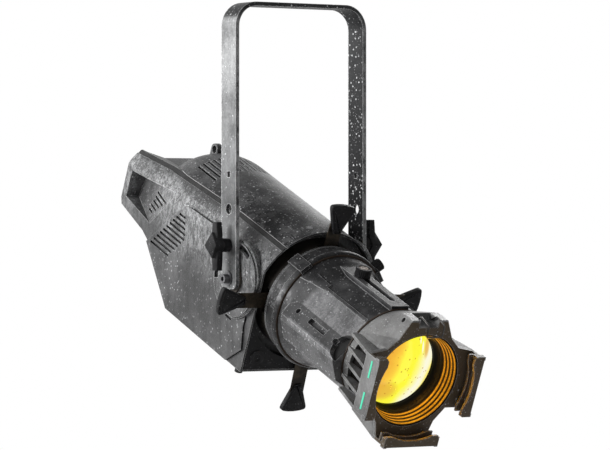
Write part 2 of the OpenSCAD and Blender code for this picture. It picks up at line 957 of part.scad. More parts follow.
// Rear panel: its span between the tail's floor and the deck
rear_front = -rear_face_back + rear_t;
rear_top = seam_y(-rear_face_back) - deck_drop - wall - 2 * part_gap;
rear_low = tail_low + wall + 1;
window_y = rear_top - window_h / 2 - 8;
button_y = rear_low + button_d / 2 + 14;
button_rim = 1.5;
socket_x = 1.5 * button_pitch + button_d / 2 + button_rim + socket_d / 2 + 2 * part_gap + 0.1;
socket_y = (rear_top + rear_low) / 2;
pocket_depth = side_x - wall - (socket_x + socket_d / 2 + 4);

module rear_panel() {
    color("#2b2b2b")
        head()
            difference() {
                intersection() {
                    translate([-side_x, rear_low, -rear_face_back]) cube([2 * side_x, far, rear_t]);
                    housing_form(wall + part_gap);
                }
                above_deck(wall + part_gap);
                translate([-window_w / 2, window_y - window_h / 2, -far])
                    cube([window_w, window_h, far]);
                for (i = [0:3])
                    translate([(i - 1.5) * button_pitch, button_y, -far]) cylinder(h = far, d = button_d + 2 * fit);
                for (x = [-1, 1])
                    for (y = [-1, 1])
                        translate([x * socket_x, socket_y + y * socket_pitch / 2, -far])
                            cylinder(h = far, d = socket_d - 2 + 2 * fit);
                for (side = [-1, 1]) on_side(side) pocket(wall + part_gap);
            }
}

module display_window() {
    w = window_w - 2 * fit;
    h = window_h - 2 * fit;
    color("#101820")
        head()
            translate([-w / 2, window_y - h / 2, -rear_face_back]) cube([w, h, rear_t]);
}

// Button number i, counted from 0
module menu_button(i) {
    stop_t = 1.5;
    color("#1a1a1a")
        head()
            translate([(i - 1.5) * button_pitch, button_y, 0]) {
                axis_bar(-rear_face_back - button_out - button_travel, rear_front + 1, button_d / 2);
                axis_bar(rear_front + part_gap, rear_front + part_gap + stop_t, button_d / 2 + button_rim);
            }
}

// Round panel socket with a recess
module socket(x, y) {
    recess = 14;
    flange_t = 3;
    translate([x, y, 0])
        difference() {
            union() {
                axis_bar(-rear_face_back - flange_t, -rear_face_back, socket_d / 2);
                axis_bar(-rear_face_back - 1, rear_front + recess, socket_d / 2 - 1);
            }
            axis_bar(-far, -rear_face_back - flange_t + recess, socket_d / 2 - 3);
        }
}

module power_sockets() {
    color("#2a2f3a")
        head()
            for (y = [-1, 1]) socket(socket_x, socket_y + y * socket_pitch / 2);
}

module data_sockets() {
    color("#8a8a8a")
        head()
            for (y = [-1, 1]) socket(-socket_x, socket_y + y * socket_pitch / 2);
}

module heat_sink() {
    span = 2 * holder_r;
    pitch = span / (fin_count - 1);
    color("gainsboro")
        head() {
            axis_bar(sink_front - sink_base_t, sink_front, holder_r + holder_wall);
            axis_bar(fin_back, sink_front - 1, holder_r / 3);
            for (i = [0:fin_count - 1]) {
                x = -span / 2 + i * pitch;
                h = sqrt(pow(holder_r + holder_wall, 2) - x * x);
                translate([x - fin_t / 2, -h + 1, fin_back]) cube([fin_t, 2 * h - 2, fin_l + 1]);
            }
        }
}

module led_board() {
    color("#e8e8d8")
        head() {
            axis_bar(sink_front, -board_back, holder_r - part_gap);
            axis_bar(-board_back - 1, -board_back + 1.5, holder_r / 2);
        }
}

module condenser_lens() {
    color("lightcyan", 0.5)
        head()
            intersection() {
                axis_bar(-58, -34, holder_r - fit);
                translate([0, 0, -34 - 1.3 * holder_r]) sphere(r = 1.3 * holder_r);
            }
}

module condenser_holder() {
    neck = holder_r + holder_wall;
    rim = 7;
    color("#404040")
        head()
            difference() {
                union() {
                    axis_bar(-board_back + part_gap - board_t, 5, neck);
                    axis_bar(3, 8, cup_r);
                    axis_ring(7, bulkhead_back, cup_r - 3, cup_r);
                    axis_ring(bulkhead_back - 3, bulkhead_back, cup_r - 1, cup_r + rim);
                }
                axis_bar(-58, far, holder_r);
                axis_bar(-59, 0, holder_r - 4);
                axis_bar(-far, -60, holder_r);
            }
}

module fan_frame() {
    color("#161616")
        head()
            difference() {
                union() {
                    difference() {
                        translate([-fan_w / 2, -fan_w / 2, fan_back]) cube([fan_w, fan_w, fan_t]);
                        axis_bar(fan_back - 1, fan_front + 1, fan_hole_r);
                    }
                    axis_bar(fan_back, fan_back + 3, fan_hub_r);
                    for (a = [45:90:315])
                        spoke_block(a, fan_hub_r - 2, fan_hole_r + 2, 4, fan_back, fan_back + 3);
                }
                axis_bar(-far, 0, shaft_r + fit);
            }
}

module fan_rotor() {
    blade_l = 16;
    twist = 40;
    color("#202020")
        head() {
            axis_bar(fan_back + 0.5, fan_back + 5, shaft_r);
            axis_bar(fan_back + 4, fan_front - 2, fan_hub_r);
            for (i = [0:fan_blades - 1])
                rotate([0, 0, i * 360 / fan_blades])
                    translate([fan_hub_r - 2, 0, (fan_back + fan_front) / 2 + 1])
                        rotate([twist, 0, 0])
                            translate([0, -1, -blade_l / 2])
                                cube([fan_hole_r - fan_hub_r - 1, 2, blade_l]);
        }
}

module power_supply() {
    low = -base_drop + wall + part_gap;
    color("silver")
        head()
            difference() {
                translate([-psu_half_w, low, -psu_l]) cube([2 * psu_half_w, psu_top - low, psu_l]);
                for (z = [-psu_l + 15:12:-14])
                    translate([-psu_half_w - 1, psu_top - 6, z]) cube([2 * psu_half_w + 2, 3, 6]);
            }
}

module driver_board() {
    color("darkgreen")
        head() {
            half = psu_half_w - 10;
            translate([-half, psu_top, -psu_l + 10]) cube([2 * half, 1.6, psu_l - 25]);
            for (x = [-0.75, -0.25, 0.35])
                for (z = [0.8, 0.56, 0.32])
                    translate([x * half, psu_top + 1, -z * psu_l]) cube([16, 5.5, 14]);
        }
}

// Small screws: base cover, top cover
module housing_screws() {
    color("#707070")
        head() {
            for (p = base_screws)
                translate([p[0], -base_drop, p[1]])
                    rotate([-90, 0, 0]) {
                        translate([0, 0, -2]) cylinder(h = 2, r = 4);
                        translate([0, 0, -1]) cylinder(h = wall + 1, r = 2);
                    }
            for (a = cover_screw_angles) {
                spoke(a, cover_screw_z, dome_r - 2, dome_r, 4);
                spoke(a, cover_screw_z, dome_r - 12, dome_r - 1, 2);
            }
        }
}

// Ring that the blades slide in, on the bearing tube that the barrel turns on
module shutter_ring() {
    color("#2e2e2e")
        head()
            difference() {
                union() {
                    axis_bar(bearing_back, chamber_back, bearing_r);
                    axis_bar(bulkhead_front + seat_gap, ring_wall_front - part_gap, ring_r);
                }
                axis_bar(chamber_back, far, chamber_r);
                axis_bar(body_front, far, gate_r);
                axis_bar(0, body_front, bearing_r - bearing_wall);
                axis_ring(0, body_front, bearing_r, chamber_r);
                for (a = shutter_sides)
                    spoke_block(a, chamber_r - 5, far, ring_slot_w, chamber_back, far);
            }
}

module front_ring() {
    color("#4a4a4a")
        head()
            difference() {
                axis_bar(ring_wall_front, barrel_back, ring_r);
                axis_bar(0, far, gate_r + 5);
                axis_bar(ring_wall_front + front_plate_t, far, cavity_r + 2);
                axis_ring(ring_wall_front + 2, ring_wall_front + 3.5, ring_r - 1, far);
            }
}

// Shape of the barrel as a solid of revolution
module barrel_bell() {
    fall = bell_r - barrel_r;
    steps = 9;
    bell_l = 48;
    rotate_extrude()
        polygon(concat([[0, barrel_start], [bell_r, barrel_start]],
                       [for (i = [1:steps])
                           [barrel_r + fall * (1 + cos(180 * i / steps)) / 2, barrel_start + 6 + bell_l * i / steps]],
                       [[barrel_r, barrel_front], [0, barrel_front]]));
}

// Root of a barrel rib: a wide strap that slopes down the bell
module rib_root(a) {
    strap_w = 15;
    strap_l = 52;
    hull() {
        spoke_block(a, cavity_r, bell_r - 1, strap_w, barrel_start + 4, barrel_start + 6);
        spoke_block(a, cavity_r, barrel_r + rib_h, strap_w, barrel_start + strap_l, barrel_start + strap_l + 2);
    }
}

// Hollow of the barrel, with its two guide bores for the lens tube
module barrel_hollow() {
    axis_bar(barrel_start - 1, guide_back, cavity_r);
    axis_bar(guide_back + guide_l, barrel_front - guide_l, cavity_r);
    axis_bar(0, far, bore_r);
}

module focus_slot() {
    translate([-focus_slot_w / 2, 0, focus_z]) cube([focus_slot_w, far, slot_end - focus_z - focus_slot_w / 2]);
    for (z = [focus_z, slot_end - focus_slot_w / 2]) spoke(90, z, 0, far, focus_slot_w / 2);
}

module barrel_upper() {
    color("#4c4c4c")
        head()
            difference() {
                union() {
                    barrel_bell();
                    for (a = [rib_angle, 180 - rib_angle])
                        union() {
                            spoke_block(a, cavity_r, barrel_r + rib_h, rib_w, barrel_start + 4, barrel_front);
                            rib_root(a);
                        }
                    spoke_block(90, cavity_r, rail_r, 2 * rail_half_w, focus_z - 34, barrel_front);
                }
                barrel_hollow();
                focus_slot();
                translate([-far, -far + split_y + part_gap / 2, -far]) cube([2 * far, far, 2 * far]);
            }
}

// Side pod on the +x side: its slanted upper face runs from the edge up to the crease below the rib
pod_edge = [pod_x, pod_edge_y];
pod_crease = [sqrt(pow(barrel_r + 1, 2) - pow(split_y, 2)), split_y - part_gap / 2];
pod_slant = atan2(pod_edge[0] - pod_crease[0], pod_crease[1] - pod_edge[1]);
pod_mid = pod_edge + pod_hole_in / cos(90 - pod_slant) * unit(pod_crease - pod_edge);

module pod_section(out, l) {
    linear_extrude(height = l)
        polygon([[50, pod_low], [60, pod_low], [out - 13, pod_low + 8], [out, pod_edge_y - 7], [out, pod_edge_y],
                 pod_crease, [20, pod_crease[1]]]);
}

module pod() {
    taper_l = 12;
    taper_in = 9;
    translate([0, 0, taper_l]) pod_section(pod_x, barrel_front - pod_back - taper_l);
    hull() {
        pod_section(pod_x - taper_in, 1);
        translate([0, 0, taper_l]) pod_section(pod_x, 1);
    }
}

// Things set square on the slanted face of a pod, at its hole line
module on_pod(z) {
    translate([pod_mid[0], pod_mid[1], z])
        rotate([0, 0, pod_slant])
            children();
}

module barrel_lower() {
    slot_back = 165;
    slot_front_z = 206;
    slot_w = 8;
    hole_depth = 6;
    color("#444444")
        head()
            difference() {
                union() {
                    barrel_bell();
                    for (s = [-1, 1]) on_side(s) translate([0, 0, pod_back]) pod();
                }
                barrel_hollow();
                for (s = [-1, 1])
                    on_side(s) {
                        for (z = [136, 230]) on_pod(z) cross_bar(-hole_depth, far / 10, 0, 0, pod_hole_d / 2);
                        on_pod(slot_back)
                            translate([-hole_depth, -slot_w / 2, 0])
                                cube([far / 10, slot_w, slot_front_z - slot_back]);
                        on_pod(barrel_front + 2) cross_bar(-scoop_depth, far / 10, 0, 0, scoop_d / 2);
                    }
                translate([-far, split_y - part_gap / 2, -far]) cube([2 * far, far, 2 * far]);
            }
}

module barrel_retainer() {
    color("silver")
        head()
            axis_ring(bulkhead_back - seat_gap - retainer_t, bulkhead_back - seat_gap, bearing_r + fit,
                      bearing_r + retainer_rim);
}

module barrel_clamps() {
    color("#3c3c3c")
        head()
            difference() {
                for (a = [rib_angle, lock_angle])
                    spoke_block(a, ring_r - 2, ring_r + clamp_h, clamp_w, clamp_back, clamp_front);
                axis_bar(0, far, ring_r + part_gap / 2);
                spoke(lock_angle, lock_z, 0, far, lock_d / 2 + fit);
            }
}

module barrel_lock_knob() {
    head_r = ring_r + clamp_h + seat_gap;
    color("#181818")
        head() {
            spoke(lock_angle, lock_z, ring_r + 1, head_r + 1, lock_d / 2);
            spoke(lock_angle, lock_z, head_r, head_r + lock_head_h, lock_head_d / 2);
            for (t = [0, 60, 120])
                rotate([0, 0, lock_angle])
                    translate([head_r, 0, lock_z])
                        rotate([t, 0, 0])
                            translate([0, -lock_head_d / 2 - 1, -2])
                                cube([lock_head_h - 1, lock_head_d + 2, 4]);
        }
}

// Blade number k, counted from the top anticlockwise: a segment of a disc and its neck
module shutter_blade(k) {
    z = chamber_back + blade_gap + k * (blade_t + blade_gap);
    push = shutter_push[k];
    color("gray")
        head()
            rotate([0, 0, shutter_angles[k]])
                translate([-push, 0, z]) {
                    difference() {
                        cylinder(h = blade_t, r = blade_out_r);
                        translate([-far + gate_r, -far, -1]) cube([far, 2 * far, 3 * blade_t]);
                    }
                    translate([gate_r + 5, -neck_w / 2, 0])
                        cube([tip_r + handle_grip - gate_r - 5, neck_w, blade_t]);
                }
}

// Handle number k: a flared grip with a round outer edge
module shutter_handle(k) {
    z = chamber_back + blade_gap + k * (blade_t + blade_gap);
    push = shutter_push[k];
    tip = 5;
    half = handle_w / 2;
    edge_r = 1.6 * handle_l;
    color("#202020")
        head()
            rotate([0, 0, shutter_angles[k]])
                translate([tip_r - push, 0, 0])
                    difference() {
                        translate([0, 0, handle_back])
                            linear_extrude(height = handle_t)
                                intersection() {
                                    polygon([[0, -tip], [handle_l - 8, -half], [handle_l, -half + 1],
                                             [handle_l, half - 1], [handle_l - 8, half], [0, tip]]);
                                    translate([handle_l - edge_r, 0]) circle(r = edge_r);
                                }
                        translate([-1, -neck_w / 2 - fit, z - fit])
                            cube([handle_grip + 1 + fit, neck_w + 2 * fit, blade_t + 2 * fit]);
                    }
}

module lens_tube() {
    color("#303030")
        head()
            difference() {
                axis_bar(tube_back, tube_front, tube_r);
                axis_bar(tube_back + 3, far, tube_r - tube_wall);
                axis_bar(0, far, tube_r - tube_wall - 4);
                spoke(90, focus_z, 0, far, focus_screw_d / 2 + fit);
            }
}

module rear_lens() {
    edge = 5;
    curve = 95;
    r = tube_r - tube_wall - fit;
    sag = curve - sqrt(curve * curve - r * r);
    color("lightcyan", 0.5)
        head()
            intersection() {
                axis_bar(tube_back + 3, tube_back + 3 + edge + sag + 1, r);
                translate([0, 0, tube_back + 3 + edge + sag - curve]) sphere(r = curve);
            }
}

// One clip that holds two frames, drawn on the +x side
module frame_clip(half_l) {
    translate([clip_in, -half_l, plate_front - plate_t]) cube([clip_wall, 2 * half_l, cap_front - plate_front + plate_t]);
    for (span = [[mid_back, rail_mid_t], [rail_back, rail_front_t]])
        difference() {
            translate([clip_in - rail_reach, -half_l, span[0]]) cube([rail_reach + 1, 2 * half_l, span[1]]);
            axis_bar(0, far, scallop_r);
        }
    for (s = [-1, 1])
        translate([clip_in - rail_reach + 2, s * half_l - lug_l / 2, cap_front - lug_t])
            cube([rail_reach - 2 + clip_wall + 1, lug_l, lug_t]);
}

// The three clips: on both sides and below
clip_turns = [0, 180, 270];

module frame_clips() {
    color("#3e3833")
        head()
            for (a = clip_turns) rotate([0, 0, a]) frame_clip(clip_half_l);
}

// Ribs that carry a clip from the cap's ring, and the windows between them
rib_t = 4;
rib_count = 5;
rib_pitch = (2 * clip_half_l - rib_t) / (rib_count - 1);

module clip_ribs() {
    seat = plate_front - plate_t - part_gap / 2;
    edge = clip_in - part_gap / 2;
    for (i = [0:rib_count - 1])
        translate([0, -clip_half_l + i * rib_pitch + rib_t, 0])
            rotate([90, 0, 0])
                linear_extrude(height = rib_t)
                    polygon([[baffle_r - 4, cap_back + 2], [cap_r, cap_back + 2], [clip_out, seat], [edge, seat],
                             [edge, plate_front - 1], [baffle_r - 4, plate_front - 1]]);
}

module clip_windows() {
    back = cap_back + 12;
    for (i = [0:rib_count - 2])
        translate([lens_r, -clip_half_l + i * rib_pitch + rib_t, back])
            cube([far, rib_pitch - rib_t, plate_front - plate_t - back]);
}

// Front plate outline, right half from the top, then mirrored
plate_x = clip_in - part_gap / 2;
function plate_half() = [[brow_half_w, brow_y], [42, 60], [57, 46], [plate_x, clip_half_l],
                         [plate_x, -clip_half_l], [60, -clip_half_l], [46, -60],
                         [clip_half_l, -plate_x]];

// Outline that the flat facets of the cap run out to: its right half from the top, then mirrored
cap_flat = cap_r + 1.5;
function cap_flats() = let (right = [[42, 60], [57, 46], [cap_flat, 12], [cap_flat, -12], [60, -clip_half_l],
                                     [46, -60], [12, -cap_flat]])
    concat(right, [for (i = [len(right) - 1:-1:0]) [-right[i][0], right[i][1]]]);

// Facets from the cap's round back to an outline at its front plate
module cap_facets(outline, l) {
    hull() {
        translate([0, 0, cap_back]) cylinder(h = 4, r = cap_r, $fn = 48);
        translate([0, 0, plate_front - l]) linear_extrude(height = l) polygon(outline);
    }
}

module front_cap() {
    right = plate_half();
    n = len(right);
    left = [for (i = [n - 1:-1:0]) [-right[i][0], right[i][1]]];
    recess_back = latch_z - 10;
    pin_end = latch_half_w + 8;
    color("#3e3833")
        head()
            difference() {
                union() {
                    difference() {
                        union() {
                            cap_facets(cap_flats(), plate_t);
                            cap_facets([[-brow_half_w, brow_y], [-42, 60], [42, 60], [brow_half_w, brow_y]], 24);
                        }
                        for (a = clip_turns) rotate([0, 0, a]) clip_windows();
                    }
                    translate([0, 0, plate_front - plate_t])
                        linear_extrude(height = plate_t) polygon(concat(right, left));
                    for (a = clip_turns) rotate([0, 0, a]) clip_ribs();
                }
                axis_bar(lens_seat, far, baffle_r + fit);
                axis_bar(0, far, lens_clear_r);
                axis_bar(0, tube_front + fit, tube_r + fit);
                translate([-latch_half_w - 3, latch_y - 5, recess_back])
                    cube([2 * latch_half_w + 6, far, far]);
                cross_bar(-pin_end, pin_end, latch_y, latch_z, wire_r + fit);
                for (s = [-1, 1]) on_side(s) cross_bar(pin_end - 1, far, latch_y, latch_z, 3);
            }
}

// Ring in front of the lens, with sharp steps that catch stray light
module baffle_ring() {
    front = plate_front - 0.5;
    lip_back = lens_seat + lens_edge + 2.3;
    lip_front = lip_back + baffle_lip;
    steps_back = lip_front + 8;
    pitch = (front - steps_back) / baffle_steps;
    r0 = lens_clear_r + 4;
    grow = (baffle_r - 1.5 - r0) / baffle_steps;
    color("#5a4020")
        head()
            rotate_extrude()
                polygon(concat([[lens_r + part_gap, lens_seat + part_gap], [baffle_r, lens_seat + part_gap],
                                [baffle_r, front]],
                               [for (i = [baffle_steps - 1:-1:0])
                                   for (e = [[1, 1], [0.1, 0.7]])
                                       [r0 + grow * (i + e[0]), steps_back + pitch * (i + e[1])]],
                               [[r0, steps_back], [lens_clear_r, lip_front], [lens_clear_r, lip_back],
                                [lens_r + part_gap, lip_back]]));
}

module front_lens() {
    apex = lens_seat + lens_edge + lens_curve_r - sqrt(lens_curve_r * lens_curve_r - lens_r * lens_r);
    color("gold", 0.7)
        head()
            intersection() {
                axis_bar(lens_seat + part_gap, far, lens_r);
                translate([0, 0, apex - lens_curve_r]) sphere(r = lens_curve_r);
            }
}

module focus_knob() {
    knob_y = rail_r + seat_gap;
    ridges = 24;
    color("#2a2a2a")
        head() {
            spoke(90, focus_z, tube_r - 2, knob_y + 1, focus_screw_d / 2);
            difference() {
                spoke(90, focus_z, knob_y, knob_y + focus_knob_h, focus_knob_d / 2);
                spoke(90, focus_z, knob_y + focus_knob_h - 2, far, focus_knob_d / 2 - 3);
                for (i = [0:ridges - 1])
                    translate([focus_knob_d / 2 * cos(i * 360 / ridges), 0,
                               focus_z + focus_knob_d / 2 * sin(i * 360 / ridges)])
                        spoke(90, 0, knob_y - 1, far, 0.8);
            }
        }
}

// Flat strip between two points of the side view
module strip(a, b, w) {
    d = b - a;
    translate(a)
        rotate(atan2(d[1], d[0]))
            translate([-w / 3, -w / 2]) square([norm(d) + 2 * w / 3, w]);
}

module gel_latch() {
    pin_end = latch_half_w + 7;
    front_z = mid_front + 4;
    w = 2 * wire_r;
    path = [[latch_z, latch_y], [latch_z + 10, brow_y + 3], [front_z, brow_y - 1], [front_z + 1, 70]];
    color("#202020")
        head() {
            for (s = [-1, 1])
                on_side(s) {
                    translate([latch_half_w, 0, 0])
                        rotate([0, -90, 0])
                            linear_extrude(height = w) {
                                translate(path[0]) circle(r = 1.6 * wire_r, $fn = 8);
                                for (i = [0:2]) strip(path[i], path[i + 1], w);
                            }
                    cross_bar(latch_half_w - wire_r, pin_end, latch_y, latch_z, wire_r);
                }
            translate([-latch_half_w + wire_r, path[3][1] - wire_r / 2, path[3][0] - wire_r / 2])
                cube([2 * (latch_half_w - wire_r), wire_r, wire_r]);
        }
}

yoke();
friction_washers();
tilt_bolts();
tilt_knob(-1);  // tilt_knob_left
tilt_knob(1);  // tilt_knob_right
pivot_disc(-1);  // pivot_disc_left
pivot_disc(1);  // pivot_disc_right
pivot_screws();
top_cover();
side_shell(-1);  // left_shell
side_shell(1);  // right_shell
seam_strips();
side_panel(-1);  // left_side_panel
side_panel(1);  // right_side_panel
base_cover();
front_bezel();
vent_plug();
feet();
safety_eye();
front_bulkhead();
rear_panel();
display_window();
menu_button(0);  // menu_button_1
menu_button(1);  // menu_button_2
menu_button(2);  // menu_button_3
menu_button(3);  // menu_button_4
power_sockets();
data_sockets();
heat_sink();
led_board();
condenser_lens();
condenser_holder();
fan_frame();
fan_rotor();
power_supply();
driver_board();
housing_screws();
shutter_ring();
front_ring();
barrel_upper();
barrel_lower();
barrel_retainer();
barrel_clamps();
barrel_lock_knob();
shutter_blade(0);  // shutter_blade_top
shutter_blade(1);  // shutter_blade_left
shutter_blade(2);  // shutter_blade_bottom
shutter_blade(3);  // shutter_blade_right
shutter_handle(0);  // shutter_handle_top
shutter_handle(1);  // shutter_handle_left
shutter_handle(2);  // shutter_handle_bottom
shutter_handle(3);  // shutter_handle_right
lens_tube();
front_cap();
frame_clips();
baffle_ring();
front_lens();
rear_lens();
focus_knob();
gel_latch();
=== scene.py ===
import json
import math

import bmesh
import bpy
from mathutils import Matrix, Vector


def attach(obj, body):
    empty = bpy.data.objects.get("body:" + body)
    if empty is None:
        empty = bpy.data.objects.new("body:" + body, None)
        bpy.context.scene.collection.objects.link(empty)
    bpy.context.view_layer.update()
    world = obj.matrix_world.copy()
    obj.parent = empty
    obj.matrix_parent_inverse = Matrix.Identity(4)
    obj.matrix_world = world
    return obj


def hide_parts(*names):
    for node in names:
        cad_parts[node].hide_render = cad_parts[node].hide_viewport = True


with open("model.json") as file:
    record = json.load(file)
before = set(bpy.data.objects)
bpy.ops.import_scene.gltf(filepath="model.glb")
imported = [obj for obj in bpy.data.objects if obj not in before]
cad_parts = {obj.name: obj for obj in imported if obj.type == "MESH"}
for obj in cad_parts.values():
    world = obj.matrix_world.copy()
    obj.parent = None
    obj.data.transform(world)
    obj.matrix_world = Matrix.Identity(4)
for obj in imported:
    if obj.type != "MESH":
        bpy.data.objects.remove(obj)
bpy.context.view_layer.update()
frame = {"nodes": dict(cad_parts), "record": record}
nodes = frame["nodes"]

# Sizes of the light, in metres
TILT = math.radians(23.5)
YOKE_RISE = 0.376
YOKE_IN = 0.102
YOKE_OUT = 0.1075
YOKE_BAR_HALF = 0.018
AXIS_DROP = 0.0067
PIVOT_AHEAD = 0.0058
PIVOT = Vector((0, 0, -YOKE_RISE))
KNOB_BACK = 0.1078
KNOB_RISE = 0.0455
SHUTTER_TIP = 0.134
SHUTTER_BACK = 0.0586
PANEL_FACE = 0.093
COLLAR_BACK = 0.0915
COLLAR_FRONT = 0.1004
BARREL_FRONT = 0.249
RAIL_TOP = 0.0755
POD_MID = Vector((0.0770, 0.0180, 0.251))
POD_SLANT = math.radians(40.15)
SCOOP_R = 0.0194
SCOOP_DEPTH = 0.009
FOCUS_KNOB_TOP = 0.0878
FOCUS_KNOB_AHEAD = 0.153
CAP_PLATE_FRONT = 0.318
CLIP_OUT = 0.0845
LENS_R = 0.054
LENS_AHEAD = 0.283
BAFFLE_BACK = 0.2873
BAFFLE_PITCH = 0.00604
BAFFLE_LIP = 0.2930
SEAL_DEPTH = 0.0031
FLOOR_LEVEL = -0.95
FLOOR_HALF = 9
SHARP_ANGLE = math.radians(38)

# Camera, fitted to the photograph
PICTURE_WIDTH = 610
SENSOR_WIDTH = 36
CAMERA_TURN = math.radians(-34)
CAMERA_AWAY = 5.037
CAMERA_RIGHT = 0.0144
CAMERA_LEVEL = -0.2989
FOCAL_PIXELS = 3672
SHIFT_PIXELS = -3.15
FARTHEST = 60

# Colours
BODY_BLACK = (0.068, 0.068, 0.069)
# Light grey of the wet layer on the housing, which also stands for painted sheen
BODY_FILM_SHEEN = (0.36, 0.365, 0.37)
# Painted shade on the yoke's inner faces, the slot walls, the top cover and the barrel's crown
NEAR_BLACK = (0.011, 0.011, 0.012)
# Painted shade, dark brown, for the forward faces of the cap
CAP_FRONT_SHADE = (0.074, 0.056, 0.038)
# Pale colours of the drops, painted glints
FINE_DROP_GLINT = (0.24, 0.24, 0.24)
SMALL_DROP_GLINT = (0.50, 0.50, 0.51)
LARGE_DROP_GLINT = (0.70, 0.71, 0.72)
# Painted highlight along the edges
EDGE_HIGHLIGHT = (0.80, 0.805, 0.81)
WHITE = (1, 1, 1, 1)

# Frame of the optical axis: x across, y up, z forward from the tilt pivot
OPTIC = (Matrix.Translation(PIVOT) @ Matrix.Rotation(TILT, 4, "X")
         @ Matrix.Translation((0, PIVOT_AHEAD, -AXIS_DROP)) @ Matrix.Rotation(math.pi / 2, 4, "X"))


def place_camera():
    """Long lens, level, to the light's front left."""
    back = Vector((math.sin(CAMERA_TURN), -math.cos(CAMERA_TURN), 0))
    right = Vector((math.cos(CAMERA_TURN), math.sin(CAMERA_TURN), 0))
    camera = bpy.data.objects.new("camera", bpy.data.cameras.new("camera"))
    bpy.context.scene.collection.objects.link(camera)
    camera.location = back * CAMERA_AWAY + right * CAMERA_RIGHT + Vector((0, 0, CAMERA_LEVEL))
    camera.rotation_euler = (math.pi / 2, 0, CAMERA_TURN)
    camera.data.sensor_width = SENSOR_WIDTH
    camera.data.lens = FOCAL_PIXELS * SENSOR_WIDTH / PICTURE_WIDTH
    camera.data.shift_y = SHIFT_PIXELS / PICTURE_WIDTH
    camera.data.clip_end = FARTHEST
    bpy.context.scene.camera = camera


# Node trees

class Nodes:
    """Short calls for the nodes of one tree."""

    def __init__(self, tree):
        self.tree = tree

    def add(self, kind, **settings):
        node = self.tree.nodes.new(kind)
        for key, value in settings.items():
            setattr(node, key, value)
        return node

    def join(self, source, socket):
        self.tree.links.new(source, socket)

    def put(self, socket, value):
        if isinstance(value, bpy.types.NodeSocket):
            self.join(value, socket)
        else:
            socket.default_value = value

    def math(self, operation, a, b=0.0):
        node = self.add("ShaderNodeMath", operation=operation)
        self.put(node.inputs[0], a)
        self.put(node.inputs[1], b)
        return node.outputs[0]

    def size(self, value):
        """The value without its sign."""
        return self.math("ABSOLUTE", value)

    def plus(self, a, b):
        return self.math("ADD", a, b)

    def times(self, first, *others):
        for other in others:
            first = self.math("MULTIPLY", first, other)
        return first

    def larger(self, first, *others):
        for other in others:
            first = self.math("MAXIMUM", first, other)
        return first

    def line(self, source, low, high, out_low=0.0, out_high=1.0, kind="LINEAR"):
        """Carries low to high over to out_low to out_high, and stops there."""
        node = self.add("ShaderNodeMapRange", interpolation_type=kind)
        self.join(source, node.inputs["Value"])
        limits = {"From Min": low, "From Max": high, "To Min": out_low, "To Max": out_high}
        for socket, value in limits.items():
            node.inputs[socket].default_value = value
        return node.outputs["Result"]

    def ramp(self, source, low, high, out_low=0.0, out_high=1.0):
        """The same as line, with soft ends."""
        return self.line(source, low, high, out_low, out_high, "SMOOTHSTEP")

    def between(self, source, rise, fall):
        """1 from the end of the rise to the start of the fall, 0 outside them."""
        return self.times(self.ramp(source, *rise), self.ramp(source, *fall, 1, 0))

    def blend(self, share, plain, white, output):
        """Mixes two shaders into the surface of the tree's output."""
        mix = self.add("ShaderNodeMixShader")
        self.join(share, mix.inputs[0])
        self.join(plain, mix.inputs[1])
        self.join(white, mix.inputs[2])
        self.join(mix.outputs[0], self.tree.nodes[output].inputs["Surface"])


